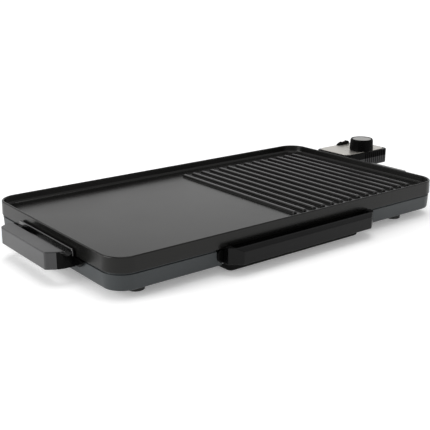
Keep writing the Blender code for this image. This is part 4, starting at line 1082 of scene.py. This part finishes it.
# %% Finishes on the drawn parts
element_finish = surface(
    "element_sheath", (0.20, 0.19, 0.18), 0.42, grain(500.0), metallic=1.0,
    gloss=(0.08, 50.0), drift=0.25, bump=(0.15, 0.05))
drawn_finishes = {
    "heat_reflector": sheet, "heating_element": element_finish, "probe_block": sheet,
    "tray_rail_left": steel, "tray_rail_right": steel, "thermostat_switch": case_plastic,
    **{clamp: steel for clamp in corner_nodes("element_clamp")},
}
for node, finish in drawn_finishes.items():
    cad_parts[node].material_slots[0].material = finish
left_over = [
    name for name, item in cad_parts.items()
    if not item.hide_render and name not in drawn_finishes
]
print("drawn parts with a finish:", len(drawn_finishes), "without:", left_over)

# %% [markdown]
# ## Floor and light
#
# A product studio is a white table in a white room. The floor is pale paper with a faint tooth. The
# room is bright at the horizon and dimmer overhead, so that tops catch the wall and bevels stay
# dark. One big soft light stands on the left, and a soft sun shines from above.

# %% Floor
scene = bpy.context.scene
scene.view_settings.view_transform = "Standard"
reach = 8
floor_mesh = bpy.data.meshes.new("floor")
corners = [(-reach, -reach, 0), (reach, -reach, 0), (reach, reach, 0), (-reach, reach, 0)]
floor_mesh.from_pydata(corners, [], [(0, 1, 2, 3)])
floor = linked("floor", floor_mesh)
paper = surface("paper", (0.90, 0.90, 0.90), 0.85, grain(500.0), drift=0.01, bump=(0.03, 0.05))
paper_shader = paper.node_tree.nodes["Principled BSDF"]
paper_shader.inputs["Emission Color"].default_value = (1, 1, 1, 1)
paper_shader.inputs["Emission Strength"].default_value = 0.22
floor_mesh.materials.append(paper)


# %% Room and lamps
HORIZON, OVERHEAD = 0.93, 0.55
world = bpy.data.worlds.new("room")
scene.world = world
world.use_nodes = True
room = world.node_tree
facing = add(room, "ShaderNodeTexCoord").outputs["Generated"]
height = add(room, "ShaderNodeSeparateXYZ", {0: facing}).outputs["Z"]
strength = spread(room, height, HORIZON, OVERHEAD, 0.35, 0.75)
room.links.new(strength, room.nodes["Background"].inputs["Strength"])
room.nodes["Background"].inputs["Color"].default_value = (1, 1, 1, 1)


def aimed(name, data, way, where=(0, 0, 0)):
    """A lamp or camera that stands at where and looks along way."""
    made = linked(name, data)
    made.location = where
    made.rotation_mode = "QUATERNION"
    made.rotation_quaternion = Vector(way).to_track_quat("-Z", "Y")
    return made


softbox_place = Vector((-2.2, 0.5, 0.75))
softbox = bpy.data.lights.new("left_softbox", "AREA")
softbox.shape = "RECTANGLE"
softbox.size, softbox.size_y, softbox.energy = 1.6, 1.3, 34
aimed("left_softbox", softbox, Vector((0, 0, 0.03)) - softbox_place, softbox_place)
sky_panel = bpy.data.lights.new("sky_panel", "SUN")
sky_panel.energy, sky_panel.angle = 0.9, radians(35)
aimed("sky_panel", sky_panel, (-0.14, -0.12, -1.0))
print("lamps:", softbox.energy, "W on the left,", sky_panel.energy, "W per square metre from above")

# %% [markdown]
# ## Camera
#
# The camera stands to the front left, looking down at about seventeen degrees with a short
# telephoto, which keeps the long edges nearly parallel.

# %% Camera
CAMERA_PLACE, CAMERA_TURN, CAMERA_FALL, CAMERA_LENS = (-0.6405, -0.7496, 0.3145), 38.0, 17.37, 67.60
camera_data = bpy.data.cameras.new("camera")
camera_data.lens = CAMERA_LENS
camera_data.sensor_width = 36
turn, fall = radians(CAMERA_TURN), radians(CAMERA_FALL)
look = (sin(turn) * cos(fall), cos(turn) * cos(fall), -sin(fall))
scene.camera = aimed("camera", camera_data, look, CAMERA_PLACE)
